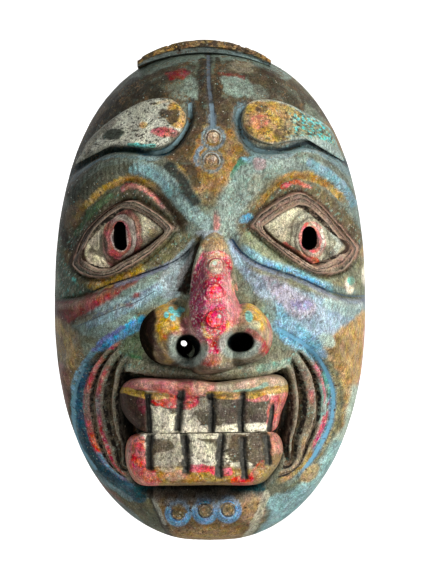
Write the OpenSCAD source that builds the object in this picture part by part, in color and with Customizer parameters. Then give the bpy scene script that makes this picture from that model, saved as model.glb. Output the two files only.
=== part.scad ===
// Carved and painted wooden wall mask with a bared-teeth grin.
// X runs to the viewer's right, Z up, and the face looks along -Y.
// The open back lies in the plane Y = 0. Left and right are the viewer's.
// All sizes are in millimetres.

/* [Face] */
// Width of the mask at its widest
face_w = 188; // [175:1:200]
// Forward reach of the carved shell, without the nose
face_depth = 76; // [72:1:82]
// Width of the flat back rim at the sides
rim_w = 14; // [11:1:16]
// Wood left behind the middle of the face
face_wall = 26; // [24:1:28]
// Depth of the two eye hollows
socket_depth = 8; // [4:1:10]
// Rise of the cheek bulges
cheek_rise = 7; // [3:1:9]

/* [Nose] */
// Forward reach of the nose tip
nose_reach = 111; // [100:1:116]
// Radius of the nostrils
nostril_r = 5.2; // [4:0.1:6]

/* [Mouth] */
// Forward reach of the upper jaw
upper_reach = 88; // [82:1:94]
// Forward reach of the lower jaw
lower_reach = 86; // [80:1:92]
// Width of the grooves between the teeth
groove_w = 3.2; // [2:0.1:4]

/* [Eyes] */
// Width of the pupil slots
pupil_w = 8; // [6:0.5:9]
// Height of the pupil slots
pupil_h = 15; // [12:0.5:16]

/* [Trim] */
// Thickness of the brow panels
brow_t = 4.5; // [3:0.5:6]
// Radius of the round peg heads
peg_r = 5.5; // [4:0.1:6]
// How far a peg head stands above the wood
peg_proud = 1.4; // [0.6:0.1:2]

/* [Fastening] */
// Radius of the holes in the strap lugs
strap_hole_r = 2.5; // [2:0.1:3.5]
// Radius of the hidden dowels
dowel_r = 3; // [2:0.1:3.5]
// Radius of the hanger ring's wire
wire_r = 1; // [0.8:0.1:1.1]

/* [Hidden] */
$fn = 48;

// Wood colours
teal = "#6f8f93";
gold = "#a9833a";
red = "#b03a48";
bone = "#cfc6ac";
dark_wood = "#4a3a26";
raw_wood = "#a58457";
brass = "#b5934a";

// Outline of the mask: one superellipse above the widest line and one below it
mid_z = -10;
top_reach = 155;
low_reach = 142;
chin_z = -150;
top_power = 2.36;
low_power = 2.2;
// Section of the mask from its middle (0) to its rim (1)
dome_power = 2.4;
dome_root = 0.526;
// The hollow inside
hollow_top = 128;
hollow_low = 126;
// Seats of the parts that are let in, as distances in front of the rim plane
nose_seat = 68;
jaw_seat = 53;
eye_seat = 47;
// The jaws curve back to each side of their middle, less at the back than in front
jaw_mid_x = -4;
bed_bend = 0.0042;
jaw_bend = 0.0055;
// Room left round a part in its pocket, behind a jaw on its bed, and round a peg in its hole
glue_gap = 0.15;
bed_gap = 0.5;
peg_gap = 0.05;
// Rings and points of the skins
shell_rings = 20;
hollow_rings = 8;
shell_points = 84;
small_rings = 7;
back_rings = [0.7, 0.35];
eye_points = 40;

function sgn(v) = v < 0 ? -1 : 1;
function pw(v, n) = pow(abs(v), n);
function bell(x, z, cx, cz, rx, rz, h) = h * exp(-pow((x - cx) / rx, 2) - pow((z - cz) / rz, 2));

// A point of the outline at angle a, for a half width and the reach above and below
function outline(a, half_w, top, low) =
    let (n = sin(a) >= 0 ? top_power : low_power, b = sin(a) >= 0 ? top : low)
    [half_w * sgn(cos(a)) * pw(cos(a), 2 / n), b * sgn(sin(a)) * pw(sin(a), 2 / n)];

// How far along its section a place lies: 0 in the middle, 1 at the rim
function reach_at(x, z) =
    let (n = z >= mid_z ? top_power : low_power, b = z >= mid_z ? top_reach : low_reach)
    min(1, pow(pw(x / (face_w / 2), n) + pw((z - mid_z) / b, n), 1 / n));
function dome(t, depth) = depth * pow(max(0, 1 - pow(t, dome_power)), dome_root);

// The grin fold is a raised loop round the mouth, strongest at its sides
grin = [-2, -78];
grin_r = [68, 50];
function grin_fold(x, z) =
    let (dx = (x - grin[0]) / grin_r[0], dz = (z - grin[1]) / grin_r[1], q = sqrt(dx * dx + dz * dz))
    q < 0.01 ? 0 : 5 * exp(-pow((q - 1) / 0.12, 2)) * pow(abs(dx) / q, 2);

function relief(x, z) =
    bell(x, z, -53, 31, 30, 17, -socket_depth) + bell(x, z, 54, 33, 30, 17, -socket_depth)
    + bell(x, z, -50, 60, 34, 9, 4) + bell(x, z, 52, 62, 34, 9, 4)
    + bell(x, z, -54, -12, 24, 13, cheek_rise) + bell(x, z, 54, -12, 24, 13, cheek_rise)
    + bell(x, z, -4, -128, 30, 13, 7) + bell(x, z, 0, 52, 14, 20, 3)
    + bell(x, z, -4, -84, 62, 30, -7) + grin_fold(x, z);

// Distance of the carved surface in front of the rim plane
function carved(x, z) = let (t = reach_at(x, z)) dome(t, face_depth) + relief(x, z) * (1 - pow(t, 8));

// Closed solid through rings of equally many points, with a fan at each end
module skin(rings, tip, tail) {
    n = len(rings[0]);
    m = len(rings);
    points = concat([tip], [for (r = rings) each r], [tail]);
    polyhedron(points, concat(
        [for (j = [0 : n - 1]) [0, 1 + j, 1 + (j + 1) % n]],
        [for (i = [0 : m - 2], j = [0 : n - 1])
            let (a = 1 + i * n + j, b = 1 + i * n + (j + 1) % n) [a, a + n, b]],
        [for (i = [0 : m - 2], j = [0 : n - 1])
            let (a = 1 + i * n + j, b = 1 + i * n + (j + 1) % n) [b, a + n, b + n]],
        [for (j = [0 : n - 1]) [n * m + 1, 1 + (m - 1) * n + (j + 1) % n, 1 + (m - 1) * n + j]]));
}

// Turned so that a shape drawn in X and Y stands in X and Z, and its height runs along -Y
module facing() rotate([90, 0, 0]) children();

// Block over an outline of [x, z] points, between two distances in front of the rim plane.
// It keeps its full thickness in the middle and rounds down to the back at the outline.
module mound(points, centre, back, front, edge_power) {
    place = function (q, d) [q[0], -d, q[1]];
    front_ring = function (t) [for (p = points)
        let (q = centre + t * (p - centre), b = back(q[0], q[1]), edge = pow(max(0, 1 - pow(t, edge_power)), 0.5))
        place(q, b + (front(q[0], q[1]) - b) * edge)];
    back_ring = function (t) [for (p = points) let (q = centre + t * (p - centre)) place(q, back(q[0], q[1]))];
    skin(concat([for (i = [1 : small_rings]) front_ring(sin(90 * i / small_rings))],
                [for (t = back_rings) back_ring(t)]),
         place(centre, front(centre[0], centre[1])), place(centre, back(centre[0], centre[1])));
}

module blank_shell() {
    step = 360 / shell_points;
    half = face_w / 2;
    front = [for (i = [1 : shell_rings]) let (t = sin(90 * i / shell_rings))
        [for (j = [0 : shell_points - 1])
            let (p = t * outline(-j * step, half, top_reach, low_reach), x = p[0], z = max(chin_z, mid_z + p[1]))
            [x, i == shell_rings ? 0 : -carved(x, z), z]]];
    back = [for (i = [hollow_rings : -1 : 1]) let (t = sin(90 * i / hollow_rings))
        [for (j = [0 : shell_points - 1]) let (p = t * outline(-j * step, half - rim_w, hollow_top, hollow_low))
            [p[0], i == hollow_rings ? 0 : -dome(t, face_depth - face_wall), mid_z + p[1]]]];
    skin(concat(front, back), [0, -carved(0, mid_z), mid_z], [0, -(face_depth - face_wall), mid_z]);
}

// Prism along -Y through the front of the shell, over an outline of [x, z] points
module pocket(points, seat) translate([0, -seat, 0]) facing() linear_extrude(face_depth) polygon(points);

// ---- Nose ----
nose_x = 1.5;
nose_top = 40;
nose_low = -45;
wing_z = -26;
nose_mid = [nose_x, -14];
nose_rows = 14;
function smooth(v, a, b) = let (s = min(1, max(0, (v - a) / (b - a)))) s * s * (3 - 2 * s);
// Rounds the outline off at the foot and the top of the nose
function nose_round(z) = min(1, sqrt(max(0.12, (z - nose_low + 1) / 14)), sqrt(max(0.3, (nose_top + 2 - z) / 12)));
// Half width at a height, on the left (side -1) and the right (side 1)
function nose_half(z, side) = nose_round(z)
    * (9 + 9 * (1 - smooth(z, 0, nose_top)) + (side < 0 ? 22 : 16.5) * exp(-pow((z - wing_z) / 15, 2)));
function nose_side(side) = [for (i = [0 : nose_rows]) let (z = nose_top - (nose_top - nose_low) * i / nose_rows)
    [nose_x + side * nose_half(z, side), z]];
nose_outline = concat(reversed(nose_side(-1)), nose_side(1));
function reversed(list) = [for (i = [len(list) - 1 : -1 : 0]) list[i]];
// A ridge that rises to the tip, with a lower wing on each side
function nose_front(x, z) =
    let (ridge = (nose_reach - nose_seat) * (0.2 + 0.8 * smooth(-z, -nose_top, -wing_z)),
         across = exp(-pow((x - nose_x) / (13 + 9 * (1 - smooth(z, -30, 30))), 2)),
         wings = bell(x, z, nose_x - 26, wing_z, 14, 14, 22) + bell(x, z, nose_x + 21, wing_z, 13, 14, 21))
    nose_seat + max(3, ridge * across + wings * (1 - 0.6 * across));

// ---- Jaws ----
upper_outline = [[-46, -51], [-30, -51], [0, -52], [30, -49.5], [42, -50], [46, -57], [43.5, -66],
                 [40, -76], [38, -80.6], [-40, -80.6], [-48, -78], [-53, -68], [-52, -57]];
lower_outline = [[-40, -80.9], [38, -80.9], [40.5, -88], [41, -98], [38, -107], [32, -111],
                 [0, -112], [-36, -111.5], [-45, -106], [-50, -96], [-49.5, -87]];
upper_grooves = [-35.5, -16.6, 1.1, 18.3, 33.8];
lower_grooves = [-35.5, -14.9, 6.3, 19.5, 33.2];
upper_mid = [-4, -66];
lower_mid = [-4, -96];
upper_teeth = [-81.5, -61];
lower_teeth = [-107, -80];
groove_depth = 7;
jaw_edge = 9;
function bent(x, reach, bend) = reach - bend * pow(x - jaw_mid_x, 2);
// Outline with points added along each side, so that the block bends smoothly
function fine(points, n) = [for (i = [0 : len(points) - 1], k = [0 : n - 1])
    let (a = points[i], b = points[(i + 1) % len(points)]) a + (b - a) * k / n];
module jaw(points, centre, reach, grooves, teeth) difference() {
    mound(fine(points, 5), centre, function (x, z) bent(x, jaw_seat, bed_bend),
          function (x, z) bent(x, reach, jaw_bend), jaw_edge);
    for (x = grooves) translate([x - groove_w / 2, -bent(x, reach, jaw_bend) - 5, teeth[0]])
        cube([groove_w, groove_depth + 5, teeth[1] - teeth[0]]);
    jaw_dowel_set(dowel_r + peg_gap);
}
// The bed that both jaws stand in, cut back to their bent seat
module jaw_bed() intersection() {
    translate([0, 0, chin_z]) linear_extrude(-chin_z) polygon(concat(
        [for (x = [-60 : 6 : 54]) [x, -bent(x, jaw_seat, bed_bend) + bed_gap]],
        [[54, -face_depth * 1.5], [-60, -face_depth * 1.5]]));
    union() {
        pocket(upper_outline, 0);
        pocket(lower_outline, 0);
        pocket([[-40, -81.5], [38, -81.5], [38, -80], [-40, -80]], 0);
    }
}

// ---- Eyes ----
// Centre [x, z], lean of the corners and turn to the side of each eye
eye_l = [-52, 30.5];
eye_r = [55, 34];
lean_l = 17;
lean_r = -14;
turn = 22;
pupil_y = 58;
pupil_slant = 20;
pupil_l = [-52.7, 31.6];
pupil_r = [60.3, 30.4];
pupil_l_size = [pupil_w - 1, pupil_h + 1];
pupil_r_size = [pupil_w + 1, pupil_h - 2];
eye_half = [25, 15];
eye_t = 12;
eye_edge = 2.2;
eye_outline = [for (i = [0 : eye_points - 1]) let (a = -360 * i / eye_points)
    [eye_half[0] * cos(a), eye_half[1] * sin(a) * (0.6 + 0.4 * abs(sin(a)))]];
module place_eye(centre, lean, yaw) translate([centre[0], -eye_seat, centre[1]]) rotate([0, 0, yaw])
    rotate([0, -lean, 0]) children();
module eye(centre, lean, yaw) difference() {
    place_eye(centre, lean, yaw) mound(eye_outline, [0, 0], function (x, z) 0, function (x, z) eye_t, eye_edge);
    pupil_slots();
}
module eye_pocket(centre, lean, yaw) place_eye(centre, lean, yaw) pocket(eye_outline, 0);
// The pupils are sight holes that slant inwards to the wearer's own eyes
module pupil_slot(at, size, slant) translate([at[0], -pupil_y, at[1]]) rotate([0, 0, slant])
    translate([0, 40, 0]) facing() linear_extrude(80) {
        for (s = [-1, 1]) translate([0, s * (size[1] - size[0]) / 2]) circle(size[0] / 2);
        square([size[0], size[1] - size[0]], center = true);
    }
module pupil_slots() {
    pupil_slot(pupil_l, pupil_l_size, -pupil_slant);
    pupil_slot(pupil_r, pupil_r_size, pupil_slant + 4);
}

// ---- Brows ----
// A brow is a leaf along a bent spine, from a round inner end to a point
brow_rows = 14;
brow_mid = 0.32;
brow_sink = 1;
function brow_spine(s, side) = side < 0
    ? [-17 - 63 * s, 98 - 4 * s - 24 * s * s]
    : [20 + 61 * s, 98 - 2 * s - 24 * s * s];
function brow_half(s) = 15 * pow(1 - s, 0.75) * min(1, sqrt((s + 0.01) / 0.16)) + 0.8;
function brow_edge(side, up, gap) = [for (i = [0 : brow_rows]) let (s = i / brow_rows)
    brow_spine(s + gap * (2 * s - 1) / 30, side) + [0, up * (brow_half(s) + gap)]];
// A panel stands in a shallow recess, which is the same shape with a gap all round
module brow(side, gap) mound(
    concat(reversed(brow_edge(side, -side, gap)), brow_edge(side, side, gap)), brow_spine(brow_mid, side),
    function (x, z) carved(x, z) - brow_sink - gap, function (x, z) carved(x, z) + brow_t + gap, 5);

// ---- Crest ----
crest_x = -3.5;
crest_z = 150;
crest_out_r = 72.7;
crest_in_z = 142;
crest_in_r = 100;
crest_ends = [-43.5, 36.5];
crest_depth = 22;
module crest_block(depth) facing() linear_extrude(depth) difference() {
    intersection() {
        translate([crest_x, crest_z - crest_out_r]) circle(crest_out_r);
        translate([crest_ends[0], crest_z / 2]) square([crest_ends[1] - crest_ends[0], crest_z]);
    }
    translate([crest_x, crest_in_z - crest_in_r]) circle(crest_in_r);
}

// ---- Pegs and dowels ----
nose_peg_z = [12.6, -2.3, -17];
nose_peg_root = 60;
forehead_peg_at = [[1.2, 87.8], [0.6, 74.9]];
chin_peg_at = [[-18.8, -130.5], [-4.1, -129.4], [10.2, -129.6]];
stud_depth = 8;
jaw_dowel_at = [[-26, -68], [18, -68], [-24, -96], [16, -96]];
jaw_dowel_y = [48, 66];
crest_dowel_x = [-24, 18];
crest_dowel_z = [131, 146];
crest_dowel_y = 9;
// Round peg along Y between two distances from the rim plane, with a low domed head
module peg(x, z, from, to, r) translate([x, -from, z]) facing() rotate_extrude()
    polygon([[0, 0], [r, 0], [r, to - from - peg_proud], [r * 0.8, to - from - peg_proud * 0.35], [0, to - from]]);
module nose_peg_set(r) for (z = nose_peg_z)
    peg(nose_x, z, nose_peg_root, nose_front(nose_x, z) + peg_proud, r);
// Slopes of the carved surface to the right and upwards, in degrees
function lean_x(p) = atan((carved(p[0] + 1, p[1]) - carved(p[0] - 1, p[1])) / 2);
function lean_z(p) = atan((carved(p[0], p[1] + 1) - carved(p[0], p[1] - 1)) / 2);
// Studs stand square on the carved surface
module stud_set(places, r) for (p = places) translate([p[0], -carved(p[0], p[1]), p[1]])
    rotate([lean_z(p), 0, -lean_x(p)]) peg(0, 0, -stud_depth, peg_proud, r);
module jaw_dowel_set(r) for (p = jaw_dowel_at) translate([p[0], -jaw_dowel_y[0], p[1]])
    facing() cylinder(r = r, h = jaw_dowel_y[1] - jaw_dowel_y[0]);
module crest_dowel_set(r) for (x = crest_dowel_x) translate([x, -crest_dowel_y, crest_dowel_z[0]])
    cylinder(r = r, h = crest_dowel_z[1] - crest_dowel_z[0]);

// ---- Nostrils ----
// Centre [x, z] of each nostril and its turn, so that the two air holes part towards the back
nostril_y = 100;
nostrils = [[-12, -32, 8], [17.7, -29.6, -13]];
module nostril_bores() for (n = nostrils) translate([n[0], -nostril_y, n[1]]) rotate([-90, 0, n[2]])
    translate([0, 0, -30]) cylinder(r = nostril_r, h = 100);

// ---- Strap lugs, let into the inner sides of the hollow ----
lug_z = 20;
lug_hole_x = 71;
lug_root_x = 86;
lug_r = 6.5;
lug_y = [3, 9];
module lug_set(gap) for (s = [-1, 1]) translate([0, -lug_y[0] + gap, lug_z]) facing()
    linear_extrude(lug_y[1] - lug_y[0] + 2 * gap) {
        translate([s * lug_hole_x, 0]) circle(lug_r + gap);
        translate([s * (lug_hole_x + lug_root_x) / 2, 0])
            square([lug_root_x - lug_hole_x + 2 * gap, 2 * (lug_r + gap)], center = true);
    }
module lug_bores() for (s = [-1, 1]) translate([s * lug_hole_x, 0, lug_z]) facing()
    cylinder(r = strap_hole_r, h = 2 * lug_y[1]);

// ---- Hanger, let into a mortise in the top of the back rim ----
mortise_x = 9.5;
mortise_z = [112, 140.5];
mortise_depth = 6;
plate_w = 11;
plate_t = 1;
plate_z = [118.5, 128];
screw_z = 122.5;
barrel_z = 128;
barrel_y = 3.85;
barrel_r = 2.1;
barrel_w = 8;
pin_gap = 0.3;
ring_half = 6.5;
ring_side = 3.5;
module hanger_mortise() translate([-mortise_x, -mortise_depth, mortise_z[0]])
    cube([2 * mortise_x, mortise_depth + 1, mortise_z[1] - mortise_z[0]]);
module screw_body(extra) translate([0, -mortise_depth + plate_t, screw_z]) facing() rotate_extrude()
    polygon([[0, 0], [2.8 + extra, 0], [1.4 + extra, 0.9], [1.4 + extra, 9], [0, 10.5]]);
module along_x(r, length) rotate([0, 90, 0]) cylinder(r = r, h = length, center = true);

// ---- Nodes ----
module face_shell() color(teal) difference() {
    blank_shell();
    pocket(nose_outline, nose_seat);
    jaw_bed();
    eye_pocket(eye_l, lean_l, -turn);
    eye_pocket(eye_r, lean_r, turn);
    pupil_slots();
    nostril_bores();
    lug_set(glue_gap);
    nose_peg_set(peg_r + peg_gap);
    stud_set(forehead_peg_at, peg_r + peg_gap);
    stud_set(chin_peg_at, peg_r + peg_gap);
    jaw_dowel_set(dowel_r + peg_gap);
    translate([0, 1, 0]) crest_block(crest_depth + 1);
    crest_dowel_set(dowel_r + peg_gap);
    brow(-1, glue_gap);
    brow(1, glue_gap);
    hanger_mortise();
    screw_body(peg_gap);
}
module nose_block() color(red) difference() {
    mound(nose_outline, nose_mid, function (x, z) nose_seat, function (x, z) nose_front(x, z), 4);
    nostril_bores();
    nose_peg_set(peg_r + peg_gap);
}
module upper_jaw() color(bone) jaw(upper_outline, upper_mid, upper_reach, upper_grooves, upper_teeth);
module lower_jaw() color(bone) jaw(lower_outline, lower_mid, lower_reach, lower_grooves, lower_teeth);
module eye_left() color(bone) eye(eye_l, lean_l, -turn);
module eye_right() color(bone) eye(eye_r, lean_r, turn);
module brow_left() color(gold) brow(-1, 0);
module brow_right() color(gold) brow(1, 0);
module crest() color(gold) difference() {
    crest_block(crest_depth);
    crest_dowel_set(dowel_r + peg_gap);
}
module nose_pegs() color(dark_wood) nose_peg_set(peg_r);
module forehead_pegs() color(dark_wood) stud_set(forehead_peg_at, peg_r);
module chin_pegs() color(dark_wood) stud_set(chin_peg_at, peg_r);
module jaw_dowels() color(raw_wood) jaw_dowel_set(dowel_r);
module crest_dowels() color(raw_wood) crest_dowel_set(dowel_r);
module strap_lugs() color(raw_wood) difference() {
    lug_set(0);
    lug_bores();
}
module hanger_plate() color(brass) difference() {
    union() {
        translate([-plate_w / 2, -mortise_depth, plate_z[0]]) cube([plate_w, plate_t, plate_z[1] - plate_z[0]]);
        translate([0, -barrel_y, barrel_z]) along_x(barrel_r, barrel_w);
    }
    translate([0, -barrel_y, barrel_z]) along_x(wire_r + pin_gap, barrel_w + 2);
    screw_body(peg_gap);
}
module hanger_ring() color(brass) translate([0, -barrel_y, barrel_z]) {
    along_x(wire_r, 2 * ring_half);
    for (s = [-1, 1]) {
        translate([s * ring_half, 0, 0]) sphere(wire_r);
        translate([s * ring_half, 0, -ring_side]) cylinder(r = wire_r, h = ring_side);
    }
    translate([0, 0, -ring_side]) rotate([90, 0, 0]) rotate_extrude(angle = -180) translate([ring_half, 0]) circle(wire_r);
}
module hanger_screw() color(brass) screw_body(0);

face_shell();
nose_block();
upper_jaw();
lower_jaw();
eye_left();
eye_right();
brow_left();
brow_right();
crest();
nose_pegs();
forehead_pegs();
chin_pegs();
jaw_dowels();
crest_dowels();
strap_lugs();
hanger_plate();
hanger_ring();
hanger_screw();
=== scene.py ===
import math

import bmesh
import bpy
import numpy as np
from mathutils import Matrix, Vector
from mathutils.bvhtree import BVHTree
from mathutils.kdtree import KDTree


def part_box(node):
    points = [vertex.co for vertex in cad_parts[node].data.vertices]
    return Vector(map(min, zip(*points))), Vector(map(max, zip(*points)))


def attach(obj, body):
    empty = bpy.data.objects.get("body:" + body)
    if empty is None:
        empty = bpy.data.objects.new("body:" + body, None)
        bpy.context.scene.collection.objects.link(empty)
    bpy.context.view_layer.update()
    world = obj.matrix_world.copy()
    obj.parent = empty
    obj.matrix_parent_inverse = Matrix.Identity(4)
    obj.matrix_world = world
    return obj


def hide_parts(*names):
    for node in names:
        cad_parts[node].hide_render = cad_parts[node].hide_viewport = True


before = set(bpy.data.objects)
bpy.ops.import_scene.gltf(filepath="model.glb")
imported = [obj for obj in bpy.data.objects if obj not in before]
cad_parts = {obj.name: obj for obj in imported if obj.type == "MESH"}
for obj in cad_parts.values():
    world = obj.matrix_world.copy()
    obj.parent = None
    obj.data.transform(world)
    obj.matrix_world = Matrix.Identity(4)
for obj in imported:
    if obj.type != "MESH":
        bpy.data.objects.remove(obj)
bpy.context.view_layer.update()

MM = 0.001
WELD_REACH = 1e-6


# ---------------------------------------------------------------- numbers from the frame
def box_mm(node):
    low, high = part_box(node)
    return np.array(low) / MM, np.array(high) / MM


SHELL_LOW, SHELL_HIGH = box_mm("face_shell")
HALF_W = SHELL_HIGH[0]
CHIN_Z = SHELL_LOW[2]
MID_Z = -10.0
TOP_REACH = 155.0
LOW_REACH = 142.0
TOP_POWER = 2.36
LOW_POWER = 2.2
DEPTH = 76.0
DOME_POWER = 2.4
DOME_ROOT = 0.526
RIM_W = 14.0
HOLLOW_DEPTH = 50.0
HOLLOW_TOP = 128.0
HOLLOW_LOW = 126.0
# The plan of the face is drawn as it looks from this far in front, laid on the plane of the rim
VIEW_DISTANCE = 1600.0
PLAN_SCALE = 1.01


# ---------------------------------------------------------------- small mathematics
def clamp(v, low=0.0, high=1.0):
    return np.minimum(high, np.maximum(low, v))


def ease(v, a, b):
    s = clamp((v - a) / (b - a))
    return s * s * (3 - 2 * s)


def tilted(u, v, cx, cz, tilt):
    """Places measured from a centre, along two axes turned by an angle in degrees."""
    c, s = math.cos(math.radians(tilt)), math.sin(math.radians(tilt))
    return (u - cx) * c + (v - cz) * s, -(u - cx) * s + (v - cz) * c


def bell(u, v, cx, cz, rx, rz, tilt=0.0):
    a, b = tilted(u, v, cx, cz, tilt)
    return np.exp(-((a / rx) ** 2) - (b / rz) ** 2)


def smooth_max(a, b, k):
    h = clamp(0.5 + 0.5 * (a - b) / k)
    return b + (a - b) * h + k * h * (1 - h)


def hash01(ix, iy, iz, seed):
    n = (ix * 374761393 + iy * 668265263 + iz * 2147483647 + seed * 1274126177) & 0xFFFFFFFF
    n = ((n ^ (n >> 13)) * 1274126177) & 0xFFFFFFFF
    return ((n ^ (n >> 16)) & 0xFFFFFF) / float(0xFFFFFF)


def noise(p, size, seed=0):
    """Smooth value noise from 0 to 1 at points p, with cells of a size in mm."""
    q = p / size
    i = np.floor(q).astype(np.int64)
    f = q - i
    f = f * f * (3 - 2 * f)
    out = np.zeros(len(p))
    for dx in (0, 1):
        wx = f[:, 0] if dx else 1 - f[:, 0]
        for dy in (0, 1):
            wy = f[:, 1] if dy else 1 - f[:, 1]
            for dz in (0, 1):
                wz = f[:, 2] if dz else 1 - f[:, 2]
                out += wx * wy * wz * hash01(i[:, 0] + dx, i[:, 1] + dy, i[:, 2] + dz, seed)
    return out


def cloud(p, size, octaves=4, seed=0):
    """Several sizes of noise added up, from 0 to 1."""
    total, weight, gain = np.zeros(len(p)), 0.0, 1.0
    for k in range(octaves):
        total += gain * noise(p + 37.0 * k, size / 2**k, seed + k)
        weight += gain
        gain *= 0.55
    return total / weight


def plan_cloud(u, v, size, octaves, seed):
    """The same noise, over places in the plan of the face."""
    return cloud(np.column_stack([u, v, v * 0]), size, octaves, seed)


def curve(points, steps=8, closed=False):
    """Smooth line through given points."""
    p = np.array(points, float)
    n = len(p)
    out = []
    for i in range(n if closed else n - 1):
        if closed:
            a, b, c, d = p[(i - 1) % n], p[i], p[(i + 1) % n], p[(i + 2) % n]
        else:
            b, c = p[i], p[i + 1]
            a = p[i - 1] if i > 0 else 2 * b - c
            d = p[i + 2] if i + 2 < n else 2 * c - b
        for k in range(steps):
            t = k / steps
            out.append(0.5 * (2 * b + (c - a) * t + (2 * a - 5 * b + 4 * c - d) * t * t
                              + (3 * b - a - 3 * c + d) * t**3))
    if not closed:
        out.append(p[-1])
    return np.array(out)


def even(ring, count):
    """A closed outline with its points spaced evenly."""
    ring = np.vstack([ring, ring[:1]])
    s = np.concatenate([[0], np.cumsum(np.linalg.norm(np.diff(ring, axis=0), axis=1))])
    at = np.linspace(0, s[-1], count, endpoint=False)
    return np.column_stack([np.interp(at, s, ring[:, 0]), np.interp(at, s, ring[:, 1])])


def to_line(u, v, line, reach=40.0):
    """Distance to a polyline, and how far along it (0 to 1) the nearest point lies."""
    line = np.asarray(line)
    best = np.full(len(u), reach)
    along = np.zeros(len(u))
    low, high = line.min(0) - reach, line.max(0) + reach
    near = np.nonzero((u > low[0]) & (u < high[0]) & (v > low[1]) & (v < high[1]))[0]
    if not len(near):
        return best, along
    x, y = u[near], v[near]
    d_best, a_best = np.full(len(near), reach), np.zeros(len(near))
    seg = np.linalg.norm(np.diff(line, axis=0), axis=1)
    start = np.concatenate([[0], np.cumsum(seg)])
    for k in range(len(line) - 1):
        if seg[k] < 1e-9:
            continue
        dx, dy = (line[k + 1] - line[k]) / seg[k]
        s = clamp((x - line[k][0]) * dx + (y - line[k][1]) * dy, 0, seg[k])
        d = np.hypot(x - line[k][0] - s * dx, y - line[k][1] - s * dy)
        closer = d < d_best
        d_best = np.where(closer, d, d_best)
        a_best = np.where(closer, (start[k] + s) / start[-1], a_best)
    best[near], along[near] = d_best, a_best
    return best, along


def to_side(u, v, line):
    """Distance to a polyline, negative on one side of it, and how far along it the nearest point lies."""
    d, a = to_line(u, v, line, 12.0)
    steps = np.linalg.norm(np.diff(line, axis=0), axis=1)
    at = np.interp(a * steps.sum(), np.concatenate([[0], np.cumsum(steps)]), np.arange(len(line)))
    k = np.minimum(at.astype(int), len(line) - 2)
    way = line[k + 1] - line[k]
    return d * np.sign(way[:, 0] * (v - line[k, 1]) - way[:, 1] * (u - line[k, 0])), a


def inside(u, v, ring):
    ring = np.asarray(ring)
    hit = np.zeros(len(u), bool)
    for k in range(len(ring)):
        (x1, y1), (x2, y2) = ring[k], ring[(k + 1) % len(ring)]
        if y1 == y2:
            continue
        cross = ((y1 > v) != (y2 > v)) & (u < (x2 - x1) * (v - y1) / (y2 - y1) + x1)
        hit ^= cross
    return hit


def to_ring(u, v, ring, reach=40.0):
    """Signed distance to a closed outline, negative inside."""
    d, _ = to_line(u, v, np.vstack([ring, ring[:1]]), reach)
    return np.where(inside(u, v, ring), -d, d)


# ---------------------------------------------------------------- shape of the face
def power(v, n):
    return np.abs(v) ** n


def outline(angle, half, top, low):
    s, c = np.sin(angle), np.cos(angle)
    n = np.where(s >= 0, TOP_POWER, LOW_POWER)
    reach = np.where(s >= 0, top, low)
    return half * np.sign(c) * power(c, 2 / n), reach * np.sign(s) * power(s, 2 / n)


def reach_at(x, z):
    n = np.where(z >= MID_Z, TOP_POWER, LOW_POWER)
    b = np.where(z >= MID_Z, TOP_REACH, LOW_REACH)
    return clamp((power(x / HALF_W, n) + power((z - MID_Z) / b, n)) ** (1 / n), 0, 1)


def dome(t, depth):
    return depth * clamp(1 - t**DOME_POWER) ** DOME_ROOT


def plan(x, z, depth):
    """Where a point lies in the plan of the face."""
    k = VIEW_DISTANCE / (VIEW_DISTANCE - depth) / PLAN_SCALE
    return x * k, z * k


def unplan(u, v, depth):
    k = VIEW_DISTANCE / (VIEW_DISTANCE - depth) / PLAN_SCALE
    return u / k, v / k


# Outlines in the plan of the face, in millimetres
EYE_HOLE_L = curve([(-75, 23), (-71, 34), (-61, 44), (-51, 49), (-40, 45), (-31, 38.6), (-28.4, 35.4),
                    (-30.6, 33), (-40, 26), (-54, 18), (-63, 13), (-72, 16)], 5, True)
EYE_HOLE_R = curve([(33, 38.4), (36, 40.6), (45, 46.6), (56, 50.6), (67, 43), (79, 28.6), (81, 25.6),
                    (79, 23.4), (70, 17), (63, 15), (52, 23), (41, 30), (35, 35.4)], 5, True)
LID_L = curve([(-85, 16), (-83, 21), (-74, 37), (-61, 49), (-47, 55), (-34, 49), (-22.5, 40), (-19.6, 37.6),
               (-21.8, 35), (-31, 26), (-44, 15), (-62, 7), (-76, 7.6), (-83, 12)], 5, True)
LID_R = curve([(23, 38.6), (25.4, 42.2), (31, 48.4), (42, 56), (53, 60), (64, 55), (76, 43), (88, 29.4),
               (90.4, 26), (89.4, 21.6), (86, 14), (77, 9), (65, 9), (51, 16), (37, 27), (26, 35.6)], 5, True)
FOLD_L = curve([(-86, 34), (-74, 50), (-61, 61), (-46, 66), (-36, 61), (-26, 52), (-19, 42), (-15, 34)])
FOLD_R = curve([(22, 44), (33, 55), (42, 64), (52, 68), (64, 66), (78, 55), (87, 42)])
RIDGE_L = curve([(-88, 44), (-74, 62), (-54, 75), (-33, 74), (-19, 62), (-12, 48)])
RIDGE_R = curve([(17, 58), (28, 72), (50, 78), (70, 70), (88, 48)])
BROW_GROOVE_L = curve([(-12, 113), (-12, 103), (-16, 94), (-24, 85), (-34, 82), (-47, 84), (-60, 84),
                       (-73, 78), (-86, 68)])
BROW_GROOVE_R = curve([(20, 112), (17, 103), (21, 91), (29, 84), (42, 83), (57, 87), (69, 84), (84, 73)])
CHEEK_L = curve([(-6, 31), (-20, 18), (-43, 9), (-61, 3), (-76, -3), (-94, -6)])
CHEEK_R = curve([(13, 31), (19, 23), (29, 16), (43, 11), (57, 6), (70, 0), (82, -4), (94, -4)])
RIM_L = curve([(-42, -20), (-54, -28), (-64, -35.5), (-72.5, -46), (-77.5, -58), (-78.4, -72), (-74.5, -91),
               (-67, -103), (-57, -112), (-46, -119)])
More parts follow.
